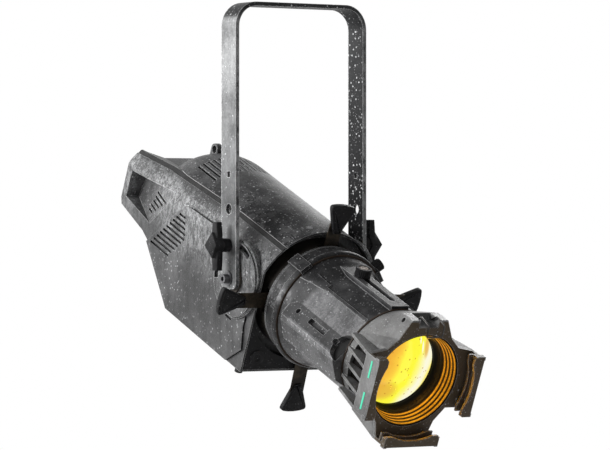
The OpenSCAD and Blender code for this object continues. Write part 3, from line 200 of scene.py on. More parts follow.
class Finish(Nodes):
    """One node material, on object coordinates."""

    def __init__(self, name):
        self.material = bpy.data.materials.new(name)
        self.material.use_nodes = True
        super().__init__(self.material.node_tree)
        self.shader = self.tree.nodes["Principled BSDF"]
        self.place = self.add("ShaderNodeTexCoord").outputs["Object"]

    def set(self, socket, value):
        self.put(self.shader.inputs[socket], value)

    def stretch(self, scale):
        mapping = self.add("ShaderNodeMapping")
        self.join(self.place, mapping.inputs["Vector"])
        mapping.inputs["Scale"].default_value = scale
        return mapping.outputs["Vector"]

    def parts_of(self, place):
        parts = self.add("ShaderNodeSeparateXYZ")
        self.join(place, parts.inputs[0])
        return parts.outputs["X"], parts.outputs["Y"], parts.outputs["Z"]

    def along_axis(self):
        """How far the point lies across, up and ahead in the frame of the optical axis."""
        inward = OPTIC.inverted()
        mapping = self.add("ShaderNodeMapping")
        self.join(self.place, mapping.inputs["Vector"])
        mapping.inputs["Location"].default_value = inward.to_translation()
        mapping.inputs["Rotation"].default_value = inward.to_euler()
        return self.parts_of(mapping.outputs["Vector"])

    def noise(self, scale, detail=3.0, rough=0.55, place=None):
        node = self.add("ShaderNodeTexNoise")
        self.join(place or self.place, node.inputs["Vector"])
        node.inputs["Scale"].default_value = scale
        node.inputs["Detail"].default_value = detail
        node.inputs["Roughness"].default_value = rough
        return node.outputs["Fac"]

    def cells(self, scale):
        """Distance from the middle of each cell, and the cell's own colour."""
        node = self.add("ShaderNodeTexVoronoi")
        self.join(self.place, node.inputs["Vector"])
        node.inputs["Scale"].default_value = scale
        return node.outputs["Distance"], node.outputs["Color"]

    def mix(self, share, a, b):
        node = self.add("ShaderNodeMix", data_type="RGBA")
        self.put(node.inputs["Factor"], share)
        for socket, colour in (("A", a), ("B", b)):
            linked = isinstance(colour, bpy.types.NodeSocket)
            self.put(node.inputs[socket], colour if linked else (*colour, 1))
        return node.outputs["Result"]

    def bands(self, source, *stops):
        """Colours along a value from 0 to 1, each stop a position and its colour."""
        node = self.add("ShaderNodeValToRGB")
        self.join(source, node.inputs["Fac"])
        points = node.color_ramp.elements
        points[0].position, points[0].color = stops[0][0], (*stops[0][1], 1)
        points[1].position, points[1].color = stops[-1][0], (*stops[-1][1], 1)
        for position, colour in stops[1:-1]:
            points.new(position).color = (*colour, 1)
        return node.outputs["Color"]

    def bump(self, height, distance, strength, below=None):
        node = self.add("ShaderNodeBump")
        self.join(height, node.inputs["Height"])
        node.inputs["Distance"].default_value = distance
        node.inputs["Strength"].default_value = strength
        if below is not None:
            self.join(below, node.inputs["Normal"])
        return node.outputs["Normal"]

    def soft_edges(self, radius):
        node = self.add("ShaderNodeBevel", samples=4)
        node.inputs["Radius"].default_value = radius
        return node.outputs["Normal"]

    def edge_lines(self, rounded):
        """1 along the corners of the solid, 0 on its faces."""
        flat = self.add("ShaderNodeNewGeometry").outputs["Normal"]
        node = self.add("ShaderNodeVectorMath", operation="DOT_PRODUCT")
        self.join(rounded, node.inputs[0])
        self.join(flat, node.inputs[1])
        return self.ramp(node.outputs["Value"], 0.90, 0.995, 1, 0)

    def drops(self, scale, size, share):
        """Scattered round drops: 1 in the middle of each, on that share of the cells."""
        distance, tint = self.cells(scale)
        node = self.add("ShaderNodeSeparateColor")
        self.join(tint, node.inputs[0])
        chance = node.outputs[0]
        return self.times(self.ramp(distance, size * 0.55, size, 1, 0),
                          self.ramp(chance, 1 - share, 1 - share + 0.03))

    def spot(self, a, b, middle, reach):
        """1 near the middle of an oval on the plane of a and b, 0 outside it."""
        sides = []
        for value, centre, half in zip((a, b), middle, reach):
            away = self.math("DIVIDE", self.math("SUBTRACT", value, centre), half)
            sides.append(self.times(away, away))
        return self.ramp(self.plus(*sides), 0.05, 1.0, 1, 0)


# Where wetness, painted sheen, painted highlights and painted shade lie

def leg_wet_and_sheen(f):
    """Wetness and painted sheen on the outer faces of the yoke's legs, the sheen stronger towards their tops,
    and painted highlights in patches along their front edges.
    """
    x, y, z = f.parts_of(f.place)
    outer = f.ramp(f.size(x), YOKE_OUT - 0.0040, YOKE_OUT - 0.0010)
    outer = f.times(outer, f.ramp(z, -0.30, 0.0, 0.34, 1.0))
    front = f.times(f.ramp(y, -YOKE_BAR_HALF + 0.0014, -YOKE_BAR_HALF + 0.0004), f.ramp(z, -0.008, -0.030))
    return f.larger(outer, f.times(front, f.ramp(f.noise(90, 3), 0.36, 0.52, 0.25, 1.0)))


def painted_shade_inner_faces(f):
    """Painted shade on the inner faces of the yoke's legs."""
    x, y, z = f.parts_of(f.place)
    inner = f.ramp(f.size(x), YOKE_IN + 0.0004, YOKE_IN + 0.0010, 1, 0)
    inner = f.times(inner, f.ramp(y, -YOKE_BAR_HALF + 0.0004, -YOKE_BAR_HALF + 0.0012))
    return f.times(inner, f.ramp(z, -0.03, -0.20, 0.60, 0.85))


def flank_wet_and_sheen(f):
    """Wetness and painted sheen on the upper part of the flat sides, where the rain runs off the seam."""
    across, up, ahead = f.along_axis()
    side = f.ramp(f.size(across), 0.072, 0.084, 0.16, 1.0)
    high = f.ramp(up, -0.050, 0.050, 0.04, 1.0)
    return f.times(side, f.times(high, f.ramp(ahead, 0.03, -0.10, 0.85, 1.0)))


def barrel_wet_and_sheen(f):
    """Painted sheen with wetness on the flat below each rib and on the underside, and painted highlights on
    the outer edges of the pods and on the sides of the bell.
    """
    _, up, ahead = f.along_axis()
    flat = f.between(up, rise=(0.0255, 0.0265), fall=(0.0510, 0.0530))
    edge = f.between(up, rise=(-0.004, 0.001), fall=(0.0060, 0.0085))
    under = f.ramp(up, -0.004, 0.0, 0.30, 0.04)
    spread = f.times(f.larger(flat, edge, under), f.ramp(ahead, 0.128, 0.136, 0.15, 1.0))
    bell = f.between(up, rise=(0.006, 0.020), fall=(0.026, 0.040))
    bell = f.times(bell, f.ramp(ahead, 0.104, 0.116, 1, 0))
    return f.larger(spread, f.times(bell, f.ramp(f.noise(120, 4), 0.38, 0.56, 0.2, 1.3)))


def painted_shade_crown(f):
    """Painted shade, in patches, on the top of the barrel and of its bell, beside the rail of the focus knob.
    """
    _, up, ahead = f.along_axis()
    below_rail = f.ramp(up, RAIL_TOP - 0.0040, RAIL_TOP - 0.0025, 1, 0)
    behind_rail = f.ramp(ahead, 0.117, 0.119, 1, 0)
    crown = f.times(f.ramp(up, 0.052, 0.058), f.larger(below_rail, behind_rail))
    return f.times(crown, f.ramp(f.noise(48, 4, 0.6), 0.36, 0.62, 0.75, 0.30))


def clip_faces(f, inside, outside):
    """Changes from inside to outside at the outer faces of the frame clips."""
    across, up, _ = f.along_axis()
    out = f.larger(f.size(across), f.size(up))
    return f.ramp(out, CLIP_OUT - 0.0007, CLIP_OUT - 0.0002, inside, outside)


def cap_damp_and_sheen(f):
    """Thin patches of damp with painted sheen all over the cap, and more on the outer faces of its clips."""
    patches = f.ramp(f.noise(45, 3), 0.40, 0.60, 0.20, 0.62)
    return f.larger(patches, clip_faces(f, 0.0, 0.80))


def painted_shade_cap_front(f):
    """Painted shade, dark brown, on the faces of the cap that look forward or towards the frames."""
    _, _, ahead = f.along_axis()
    return f.times(clip_faces(f, 1, 0), f.ramp(ahead, CAP_PLATE_FRONT - 0.0014, CAP_PLATE_FRONT - 0.0006))


def painted_shade_top(f):
    """Painted shade, nearly black, on the front of the top cover, in patches and wavy smears."""
    _, up, ahead = f.along_axis()
    top = f.times(f.ramp(up, 0.048, 0.072), f.ramp(ahead, -0.19, -0.06, 0.10, 0.95))
    wave = f.noise(26, 4, 0.6, f.stretch((1, 0.5, 1)))
    smear = f.ramp(f.size(f.math("SUBTRACT", wave, 0.5)), 0.006, 0.018, 1, 0)
    patch = f.ramp(f.noise(38, 5, 0.66), 0.38, 0.62, 1.0, 0.30)
    return f.times(top, f.larger(patch, smear))


def painted_shade_slot_walls(f):
    """Painted shade on the walls of the slots in a side panel, below its outer face."""
    across, _, _ = f.along_axis()
    return f.ramp(f.size(across), PANEL_FACE - 0.0010, PANEL_FACE - 0.0003, 1, 0)


# Finishes

def tinted(colour, gain):
    return tuple(min(1.0, c * gain) for c in colour)


def run_marks(f):
    """Water that ran down in wide and narrow streaks."""
    wide = f.noise(190, 5, 0.70, f.stretch((1, 1, 0.42)))
    narrow = f.noise(620, 3, 0.60, f.stretch((1, 1, 0.55)))
    return f.plus(f.times(wide, 0.58), f.times(narrow, 0.42))


def weathered(f, colour, patches):
    """Paint with lighter and darker patches and long dark runs."""
    runs = f.noise(60, 4, 0.6, f.stretch((1, 1, 0.12)))
    body = f.mix(f.ramp(patches, 0.34, 0.66), tinted(colour, 0.60), tinted(colour, 1.40))
    return f.mix(f.times(f.ramp(runs, 0.50, 0.32), 0.55), body, tinted(colour, 0.45))


def wet_paint(name, colour, rough, spray, wet_and_sheen_mask, film_and_sheen, streaky, edge=0.45, stain_and_shade=None,
              shade_colour=NEAR_BLACK, shine=0.10):
    """Fine powder coat that has been rained on: grain, run marks, a wet layer with painted sheen, pale drops
    painted as glints, painted highlights along the edges and painted shade.

    spray is the strength of the drops; the two mask arguments say where the wet layer with painted sheen and
    the painted shade colour lie.
    """
    f = Finish(name)
    grain = f.noise(1500, 2, 0.6)
    patches = f.noise(17, 5, 0.6)
    streaks = run_marks(f)
    wet_and_sheen_area = f.times(wet_and_sheen_mask(f), f.ramp(patches, 0.36, 0.58, 0.50, 1.0))
    wet_and_sheen = f.times(f.ramp(streaks, 0.465, 0.565, 1 - streaky, 1.0), wet_and_sheen_area)
    large = f.times(f.drops(185, size=0.31, share=0.24), f.ramp(patches, 0.40, 0.56, 0.3, 1.0))
    small = f.drops(330, size=0.36, share=0.24)
    fine = f.drops(700, size=0.42, share=0.36)
    rounded = f.soft_edges(0.0013)
    body = weathered(f, colour, patches)
    gaps = f.times(f.ramp(streaks, 0.49, 0.39), f.ramp(wet_and_sheen_area, 0.0, 0.7, 0.25, 0.75))
    body = f.mix(f.times(gaps, streaky), body, tinted(colour, 0.30))
    # Lighter wet layer, also a painted sheen, where its mask lies
    body = f.mix(f.times(wet_and_sheen, 0.85), body, film_and_sheen)
    # Painted shade where its mask lies
    if stain_and_shade:
        body = f.mix(stain_and_shade(f), body, shade_colour)
    # Pale drops, painted glints
    body = f.mix(f.times(fine, 0.22 * spray), body, FINE_DROP_GLINT)
    body = f.mix(f.times(small, 0.50 * spray), body, SMALL_DROP_GLINT)
    body = f.mix(f.times(large, 0.80 * spray), body, LARGE_DROP_GLINT)
    # Painted highlight along the edges of the solid
    f.set("Base Color", f.mix(f.times(f.edge_lines(rounded), edge), body, EDGE_HIGHLIGHT))
    dull = f.plus(f.ramp(wet_and_sheen, 0.0, 0.8, rough, rough - 0.12), f.ramp(grain, 0.3, 0.7, -0.04, 0.04))
    f.set("Roughness", f.times(dull, f.ramp(large, 0.0, 0.5, 1.0, 0.4)))
    f.set("Specular IOR Level", shine)
    surface = f.bump(grain, 0.0004, 0.5, rounded)
    surface = f.bump(streaks, 0.0009, 0.35 * streaky, surface)
    surface = f.bump(small, 0.0007, 0.6 * spray, surface)
    f.set("Normal", f.bump(large, 0.0016, 0.8, surface))
    return f.material


def moulded_plastic(name, colour):
    """Black moulded plastic with a fine spark-eroded skin, edges lightened as wear and as a painted
    highlight, and a few drops painted as pale glints.
    """
    f = Finish(name)
    skin = f.noise(2400, 2, 0.5)
    wear = f.noise(90, 5, 0.65)
    drop = f.drops(420, size=0.36, share=0.16)
    rounded = f.soft_edges(0.0008)
    body = f.mix(f.ramp(wear, 0.42, 0.75), colour, tinted(colour, 2.0))
    # Pale drops, painted glints
    body = f.mix(f.times(drop, 0.35), body, (0.25, 0.25, 0.26))
    # Edges lightened, partly wear and partly a painted highlight
    f.set("Base Color", f.mix(f.times(f.edge_lines(rounded), 0.5), body, tinted(colour, 4.5)))
    f.set("Roughness", f.times(f.ramp(wear, 0.3, 0.75, 0.42, 0.60), f.ramp(drop, 0, 0.6, 1, 0.3)))
    f.set("Specular IOR Level", 0.06)
    f.set("Normal", f.bump(drop, 0.0009, 0.8, f.bump(skin, 0.0003, 0.5, rounded)))
    return f.material


def plain_metal(name, colour, rough, along=(1, 1, 1)):
    """Bare metal with drawn lines and darker stains."""
    f = Finish(name)
    lines = f.noise(700, 3, 0.6, f.stretch(along))
    stain_and_shade = f.noise(45, 5, 0.6)
    f.set("Base Color", f.mix(f.ramp(stain_and_shade, 0.45, 0.75), colour, tinted(colour, 0.55)))
    f.set("Metallic", 1.0)
    drawn = f.ramp(lines, 0.3, 0.7, rough - 0.06, rough + 0.08)
    f.set("Roughness", f.plus(drawn, f.ramp(stain_and_shade, 0.45, 0.75, 0, 0.18)))
    f.set("Normal", f.bump(lines, 0.0002, 0.4))
    return f.material


def burnt_steel(name):
    """Shutter steel, browned nearly black by the heat of the gate."""
    f = Finish(name)
    lines = f.noise(600, 3, 0.6, f.stretch((1, 8, 1)))
    stain_and_shade = f.noise(70, 5, 0.65)
    f.set("Base Color", f.mix(f.ramp(stain_and_shade, 0.40, 0.72), (0.010, 0.008, 0.006), (0.045, 0.034, 0.022)))
    f.set("Metallic", 0.35)
    f.set("Roughness", f.ramp(lines, 0.3, 0.7, 0.40, 0.60))
    f.set("Specular IOR Level", 0.18)
    f.set("Normal", f.bump(lines, 0.0002, 0.5))
    return f.material


def anodised_tube(name):
    """Black anodised aluminium with fine turning lines."""
    f = Finish(name)
    lines = f.noise(900, 3, 0.6, f.stretch((0.2, 1, 1)))
    stain_and_shade = f.ramp(f.noise(50, 4), 0.35, 0.7)
    f.set("Base Color", f.mix(stain_and_shade, (0.004, 0.0035, 0.003), (0.014, 0.012, 0.010)))
    f.set("Roughness", f.ramp(lines, 0.3, 0.7, 0.34, 0.50))
    f.set("Specular IOR Level", 0.15)
    f.set("Normal", f.bump(lines, 0.0002, 0.45))
    return f.material


def rubber_skin(name, colour):
    """Dull rubber with a pitted face."""
    f = Finish(name)
    pits = f.noise(1300, 3, 0.6)
    f.set("Base Color", f.mix(f.ramp(f.noise(60, 4), 0.4, 0.7), colour, tinted(colour, 1.9)))
    f.set("Roughness", f.ramp(pits, 0.3, 0.7, 0.62, 0.82))
    f.set("Specular IOR Level", 0.25)
    f.set("Normal", f.bump(pits, 0.0004, 0.6))
    return f.material


def circuit_board(name):
    """Green board with lighter tracks."""
    f = Finish(name)
    distance, _ = f.cells(130)
    track = f.ramp(distance, 0.32, 0.36)
    f.set("Base Color", f.mix(track, (0.015, 0.09, 0.035), (0.03, 0.17, 0.06)))
    f.set("Roughness", f.ramp(f.noise(400, 3), 0.3, 0.7, 0.3, 0.5))
    f.set("Normal", f.bump(track, 0.0002, 0.5))
    return f.material


def emitter_white(name):
    """Ceramic emitter plate with yellow dots of phosphor, lit."""
    f = Finish(name)
    distance, _ = f.cells(160)
    dots = f.ramp(distance, 0.28, 0.34, 1, 0)
    f.set("Base Color", f.mix(dots, (0.75, 0.74, 0.70), (0.85, 0.66, 0.12)))
    f.set("Roughness", f.ramp(f.noise(300), 0.3, 0.7, 0.35, 0.5))
    f.set("Emission Color", (1.0, 0.62, 0.12, 1))
    f.set("Emission Strength", 1.5)
    return f.material


def smoked_window(name):
    """Dark glossy display window with faint smears."""
    f = Finish(name)
    smear = f.noise(70, 5, 0.6, f.stretch((1, 1, 0.4)))
    f.set("Base Color", f.mix(f.ramp(smear, 0.4, 0.7), (0.006, 0.010, 0.013), (0.02, 0.026, 0.03)))
    f.set("Roughness", f.ramp(smear, 0.4, 0.75, 0.05, 0.22))
    f.set("Specular IOR Level", 0.6)
    return f.material


def clear_glass(name):
    """Optical glass with a faint warm tint."""
    f = Finish(name)
    haze = f.noise(50, 4)
    f.set("Base Color", f.mix(f.ramp(haze, 0.3, 0.7), (0.97, 0.95, 0.9), (0.93, 0.90, 0.82)))
    f.set("Roughness", f.ramp(haze, 0.4, 0.8, 0.02, 0.07))
    f.set("Transmission Weight", 0.92)
    f.set("IOR", 1.5)
    return f.material


def lens_glow(f, across, up, cloud):
    """Amber at the left, then yellow, nearly white at the lower right as a painted highlight, with painted
    tan reflections and painted glare.
    """
    slope = f.math("SUBTRACT", across, f.times(up, 0.35))
    slope = f.plus(slope, f.ramp(cloud, 0.3, 0.7, -0.003, 0.003))
    # Towards the lower right the bands turn nearly white, a painted highlight
    glow = f.bands(f.line(slope, -LENS_R, LENS_R),
                   (0.0, (0.62, 0.24, 0.008)),
                   (0.27, (0.88, 0.44, 0.020)),
                   (0.37, (0.98, 0.62, 0.030)),
                   (0.45, (1.0, 0.94, 0.045)),
                   (0.66, (1.0, 0.97, 0.055)),
                   (0.75, (1.0, 0.97, 0.25)),
                   (0.87, (1.0, 0.97, 0.78)),
                   (0.96, (1.0, 0.97, 0.60)),
                   (1.0, (1.0, 0.86, 0.20)))
    # Painted reflections in tan
    tan = f.larger(f.spot(across, up, middle=(-0.020, -0.032), reach=(0.027, 0.020)),
                   f.spot(across, up, middle=(0.038, 0.028), reach=(0.006, 0.018)))
    glow = f.mix(f.times(tan, 0.80), glow, (0.80, 0.43, 0.060))
    # Painted glare
    glare = f.larger(f.spot(across, up, middle=(0.0300, 0.030), reach=(0.0022, 0.010)),
                     f.spot(across, up, middle=(0.0252, 0.039), reach=(0.0018, 0.006)))
    return f.mix(f.times(glare, 0.9), glow, (1.0, 0.98, 0.86))


def lit_lens(name):
    """Front lens, lit from behind, with darker drops on it."""
    f = Finish(name)
    across, up, _ = f.along_axis()
    cloud = f.noise(30, 4, 0.6)
    glow = lens_glow(f, across, up, cloud)
    drop = f.drops(215, size=0.33, share=0.30)
    f.set("Base Color", (0.03, 0.02, 0.006, 1))
    f.set("Emission Color", f.mix(f.times(drop, 0.70), glow, (0.52, 0.21, 0.01)))
    f.set("Emission Strength", 0.97)
    f.set("Roughness", f.ramp(cloud, 0.3, 0.7, 0.05, 0.12))
    f.set("Specular IOR Level", 0.35)
    f.set("Normal", f.bump(drop, 0.0006, 0.5))
    return f.material


def lit_baffle(name):
    """Black stepped baffle, with the lamp's gold light painted on the ridges ahead of its lip as a bronze
    tint and a glow.
    """
    f = Finish(name)
    _, _, ahead = f.along_axis()
    step = f.math("FRACT", f.math("DIVIDE", f.math("SUBTRACT", ahead, BAFFLE_BACK), BAFFLE_PITCH))
    ridge = f.between(step, rise=(0.26, 0.42), fall=(0.74, 0.90))
    lit = f.times(ridge, f.ramp(ahead, BAFFLE_LIP, BAFFLE_LIP + 0.0015))
    serration = f.noise(700, 3, 0.6)
    spread = f.plus(f.ramp(f.noise(26, 3), 0.35, 0.65, 0.55, 1.0), f.ramp(serration, 0.35, 0.65, -0.35, 0.25))
    # Painted light on the ridges: a bronze tint and a gold glow
    f.set("Base Color", f.mix(lit, (0.004, 0.0034, 0.0028), (0.10, 0.05, 0.008)))
    f.set("Emission Color", f.mix(f.times(lit, spread), (0, 0, 0), (1.0, 0.42, 0.012)))
    f.set("Emission Strength", 0.62)
    f.set("Roughness", f.ramp(serration, 0.3, 0.7, 0.42, 0.60))
    f.set("Specular IOR Level", 0.05)
    f.set("Normal", f.bump(serration, 0.0004, 0.6))
    return f.material


def stripe_paint(name):
    """Printed green bar, a little worn."""
    f = Finish(name)
    wear = f.noise(500, 4, 0.6)
    f.set("Base Color", f.mix(f.ramp(wear, 0.60, 0.75), (0.05, 0.55, 0.34), (0.10, 0.35, 0.25)))
    f.set("Roughness", f.ramp(wear, 0.3, 0.7, 0.35, 0.55))
    f.set("Normal", f.bump(wear, 0.0002, 0.4))
    return f.material


def make_paints():
    """The rained-on paints of yoke, housing, barrel and cap."""
    return {
        "yoke_paint": wet_paint("yoke_paint", (0.042, 0.043, 0.044), rough=0.40, spray=1.2, wet_and_sheen_mask=leg_wet_and_sheen,
                                film_and_sheen=(0.46, 0.465, 0.47), streaky=0.30, edge=1.0, stain_and_shade=painted_shade_inner_faces,
                                shine=0.06),
        "body_paint": wet_paint("body_paint", BODY_BLACK, rough=0.36, spray=0.9, wet_and_sheen_mask=flank_wet_and_sheen,
                                film_and_sheen=BODY_FILM_SHEEN, streaky=0.85),
        "panel_paint": wet_paint("panel_paint", BODY_BLACK, rough=0.36, spray=0.4, wet_and_sheen_mask=flank_wet_and_sheen,
                                 film_and_sheen=BODY_FILM_SHEEN, streaky=0.85, edge=0.12, stain_and_shade=painted_shade_slot_walls),
        "cover_paint": wet_paint("cover_paint", BODY_BLACK, rough=0.34, spray=0.85, wet_and_sheen_mask=flank_wet_and_sheen,
                                 film_and_sheen=BODY_FILM_SHEEN, streaky=0.82, stain_and_shade=painted_shade_top, shine=0.035),
        "barrel_paint": wet_paint("barrel_paint", (0.058, 0.058, 0.059), rough=0.32, spray=0.6,
                                  wet_and_sheen_mask=barrel_wet_and_sheen, film_and_sheen=(0.25, 0.25, 0.255), streaky=0.45, stain_and_shade=painted_shade_crown,
                                  shine=0.03),
        "cap_paint": wet_paint("cap_paint", (0.090, 0.089, 0.087), rough=0.36, spray=0.6, wet_and_sheen_mask=cap_damp_and_sheen,
                               film_and_sheen=(0.26, 0.26, 0.26), streaky=0.35, edge=0.35, stain_and_shade=painted_shade_cap_front,
                               shade_colour=CAP_FRONT_SHADE),
    }


def make_finishes():
    """One finish for each material of the record, and those of the scene's own pieces."""
    return {
        **make_paints(),
        "black_plastic": moulded_plastic("black_plastic", (0.013, 0.013, 0.0135)),
        "steel": plain_metal("steel", (0.13, 0.13, 0.135), rough=0.36, along=(1, 6, 6)),
        "knob_metal": plain_metal("knob_metal", (0.12, 0.10, 0.085), rough=0.48),
        "wire": plain_metal("wire", (0.045, 0.043, 0.041), rough=0.30, along=(1, 6, 6)),
        "blade_steel": burnt_steel("blade_steel"),
        "bare_aluminium": plain_metal("bare_aluminium", (0.70, 0.71, 0.72), rough=0.34, along=(1, 1, 8)),
        "black_anodised": anodised_tube("black_anodised"),
        "friction_pad": rubber_skin("friction_pad", (0.030, 0.026, 0.022)),
        "rubber": rubber_skin("rubber", (0.014, 0.014, 0.014)),
        # Black for the sheets in the scoops, painted shade
        "scoop_shade": rubber_skin("scoop_shade", (0.004, 0.004, 0.004)),
        "seal": rubber_skin("seal", (0.014, 0.008, 0.004)),
        "lens_glass": clear_glass("lens_glass"),
        "window": smoked_window("window"),
        "board": circuit_board("board"),
        "led": emitter_white("led"),
        "baffle": lit_baffle("baffle"),
        "glow": lit_lens("lens_glow"),
        "stripe": stripe_paint("stripe_paint"),
    }


def finish_nodes(finishes):
    """Every carried-over solid takes the finish of its material, and a few take their own."""
    own = {
        "front_lens": "glow",
        "shutter_ring": "black_anodised",
        "top_cover": "cover_paint",
        "left_side_panel": "panel_paint",
        "right_side_panel": "panel_paint",
    }
    for part in frame["record"]["subparts"]:
        shown = nodes[part["node"]]
        finish = finishes[own.get(part["node"], part["material_slot"])]
        if not shown.material_slots:
            shown.data.materials.append(finish)
        for slot in shown.material_slots:
            slot.material = finish


# Pieces

def settle(mesh, name, body, slot, finish, *replaced, place=OPTIC):
    """Puts a finished mesh in the light's frame and lets it ride on its body."""
    bmesh.ops.remove_doubles(mesh, verts=mesh.verts, dist=1e-6)
    bmesh.ops.transform(mesh, matrix=place, verts=mesh.verts)
    bmesh.ops.recalc_face_normals(mesh, faces=mesh.faces)
    data = bpy.data.meshes.new(name)
    mesh.to_mesh(data)
    mesh.free()
    data.materials.append(finish)
    data.shade_smooth()
    data.set_sharp_from_angle(angle=SHARP_ANGLE)
    piece = bpy.data.objects.new(name, data)
    bpy.context.scene.collection.objects.link(piece)
    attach(piece, body)
    if replaced:
        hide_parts(*replaced)


def raise_faces(mesh, faces, height):
    """Extrudes faces along z. Returns the new faces."""
    raised = bmesh.ops.extrude_face_region(mesh, geom=faces)["geom"]
    verts = [v for v in raised if isinstance(v, bmesh.types.BMVert)]
    bmesh.ops.translate(mesh, verts=verts, vec=(0, 0, height))
    return [f for f in raised if isinstance(f, bmesh.types.BMFace)]


def slab(mesh, outline, thickness):
    """A flat outline in x and y, raised along z. Returns its bottom and top faces."""
    base = mesh.faces.new([mesh.verts.new((x, y, 0)) for x, y in outline])
    return base, raise_faces(mesh, [base], thickness)[0]


def block(mesh, size, middle):
    """A box of that size round its middle. Returns its points."""
    verts = bmesh.ops.create_cube(mesh, size=1)["verts"]
    bmesh.ops.scale(mesh, verts=verts, vec=size)
    bmesh.ops.translate(mesh, verts=verts, vec=middle)
    return verts


def turned(mesh, outline, axis):
    """A closed outline of radius and place along the axis, turned once round it."""
    points = [mesh.verts.new(Vector((radius, 0, 0)) + Vector(axis) * along) for radius, along in outline]
    sides = [mesh.edges.new((points[i - 1], points[i])) for i in range(len(points))]
    bmesh.ops.spin(mesh, geom=points + sides, axis=axis, cent=(0, 0, 0), angle=2 * math.pi, steps=96,
                   use_merge=True)


def round_edges(mesh, edges, width, segments=2):
    bmesh.ops.bevel(mesh, geom=list(edges), offset=width, affect="EDGES", segments=segments, profile=0.5,
                    material=-1)


def edges_of(verts):
    return {e for v in verts for e in v.link_edges}


def both_sides(points):
    """The points, then those off the x axis again below it, as a closed outline."""
    return list(points) + [(x, -y) for x, y in reversed(points) if y > 1e-9]


def two_largest(mesh):
    return sorted(mesh.faces, key=lambda f: -f.calc_area())[:2]


def shutter_grip(side, angle, push, finish):
    """Fan-shaped grip: narrow at the blade, wide and bowed outside, with a dished face and finger ridges."""
    thickness = 0.008
    rim, slope, dish = 0.0018, 0.0006, 0.0009
    ridge_width, ridge_pitch, ridge_sink = 0.0016, 0.0065, 0.0003
    fan = both_sides([(0.0, 0.0046), (0.0005, 0.0052), (0.0330, 0.0186), (0.0365, 0.0194),
                      (0.0385, 0.0188), (0.0398, 0.0166), (0.0412, 0.0092), (0.0417, 0.0)])
    mesh = bmesh.new()
    bottom, top = slab(mesh, fan, thickness)
    round_edges(mesh, [e for f in (bottom, top) for e in f.edges], 0.0012, 3)
    bmesh.ops.inset_individual(mesh, faces=two_largest(mesh), thickness=rim, depth=0.0)
    bmesh.ops.inset_individual(mesh, faces=two_largest(mesh), thickness=slope, depth=-dish)
    for step in range(3):
        ridge_length = 0.0250 - 0.0052 * step
        ridge = block(mesh, (ridge_width, ridge_length, thickness - 2 * ridge_sink),
                      (0.0335 - ridge_pitch * step, 0, thickness / 2))
        round_edges(mesh, edges_of(ridge), 0.0006)
    turn = (Matrix.Rotation(math.radians(angle), 4, "Z")
            @ Matrix.Translation((SHUTTER_TIP - push, 0, SHUTTER_BACK)))
    settle(mesh, "shutter_grip_" + side, "shutter_" + side, "black_plastic", finish, "shutter_handle_" + side,
           place=OPTIC @ turn)


def tee_knob(side, sign, finish):
    """Moulded clamp knob: round stem, tapered bar and a diamond hub that stands out in front of it."""
    bar_back, bar_thick = 0.0136, 0.0090
    hub_back, hub_thick = 0.0138, 0.0160
    hub_half_length, hub_half_width, hub_slope = 0.0180, 0.0145, 0.0026
    bar = both_sides([(-0.0345, 0.0056), (-0.0150, 0.0074), (0.0150, 0.0072), (0.0315, 0.0050)])
    diamond = [(-hub_half_length, 0), (0, -hub_half_width), (hub_half_length, 0), (0, hub_half_width)]
    stem_length = 0.0165
    rounding = 0.0009
    mesh = bmesh.new()
    slab(mesh, bar, bar_thick)
    bmesh.ops.translate(mesh, verts=mesh.verts, vec=(0, 0, bar_back))
    round_edges(mesh, mesh.edges, rounding)
    held = set(mesh.verts)
    slab(mesh, diamond, hub_thick)
    hub = [v for v in mesh.verts if v not in held]
    peaks = [v for v in hub if abs(v.co.x) > hub_half_length / 2 and v.co.z > hub_thick / 2]
    bmesh.ops.translate(mesh, verts=hub, vec=(0, 0, hub_back))
    bmesh.ops.translate(mesh, verts=peaks, vec=(0, 0, -hub_slope))
    round_edges(mesh, edges_of(hub), rounding)
    stem = bmesh.ops.create_cone(mesh, cap_ends=True, segments=40, radius1=0.0092, radius2=0.0095,
                                 depth=stem_length)["verts"]
    bmesh.ops.translate(mesh, verts=stem, vec=(0, 0, stem_length / 2))
    rims = {e for e in edges_of(stem) if abs(e.verts[0].co.z - e.verts[1].co.z) < 1e-6}
    round_edges(mesh, rims, rounding)
    place = (Matrix.Translation(PIVOT + Vector((sign * KNOB_BACK, 0, KNOB_RISE)))
             @ Matrix.Rotation(sign * math.pi / 2, 4, "Y"))
    settle(mesh, "tee_knob_" + side, "tilt_knob_" + side, "black_plastic", finish, "tilt_knob_" + side,
           place=place)


def latch_path():
    """Points along the latch wire, from one end to the other. Those of one half are in millimetres."""
    half = [(19.5, 81, 303), (13.6, 81, 303), (12.5, 81.6, 304), (12.5, 88.2, 311.5), (12.5, 89.3, 314.0),
            (12.5, 86.2, 331.2), (12.5, 84.8, 332.8), (12.5, 82.8, 333.2), (12.4, 72.0, 334.0),
            (11.8, 70.5, 334.0), (10.4, 70, 334.0)]
    mirrored = [(-x, y, z) for x, y, z in reversed(half)]
    return [Vector(p) / 1000 for p in half + mirrored]


def latch_wire(finish):
    """Bent spring wire that keeps the frames in."""
    points = latch_path()
    line = bpy.data.curves.new("latch_line", "CURVE")
    line.dimensions = "3D"
    line.bevel_depth = 0.0013
    line.bevel_resolution = 3
    line.use_fill_caps = True
    path = line.splines.new("POLY")
    path.points.add(len(points) - 1)
    for place, point in zip(path.points, points):
        place.co = (*point, 1)
    drawn = bpy.data.objects.new("latch_line", line)
    mesh = bmesh.new()
    mesh.from_mesh(drawn.to_mesh())
    drawn.to_mesh_clear()
    bpy.data.objects.remove(drawn)
    bpy.data.curves.remove(line)
    settle(mesh, "latch_wire", "latch", "steel", finish, "gel_latch")


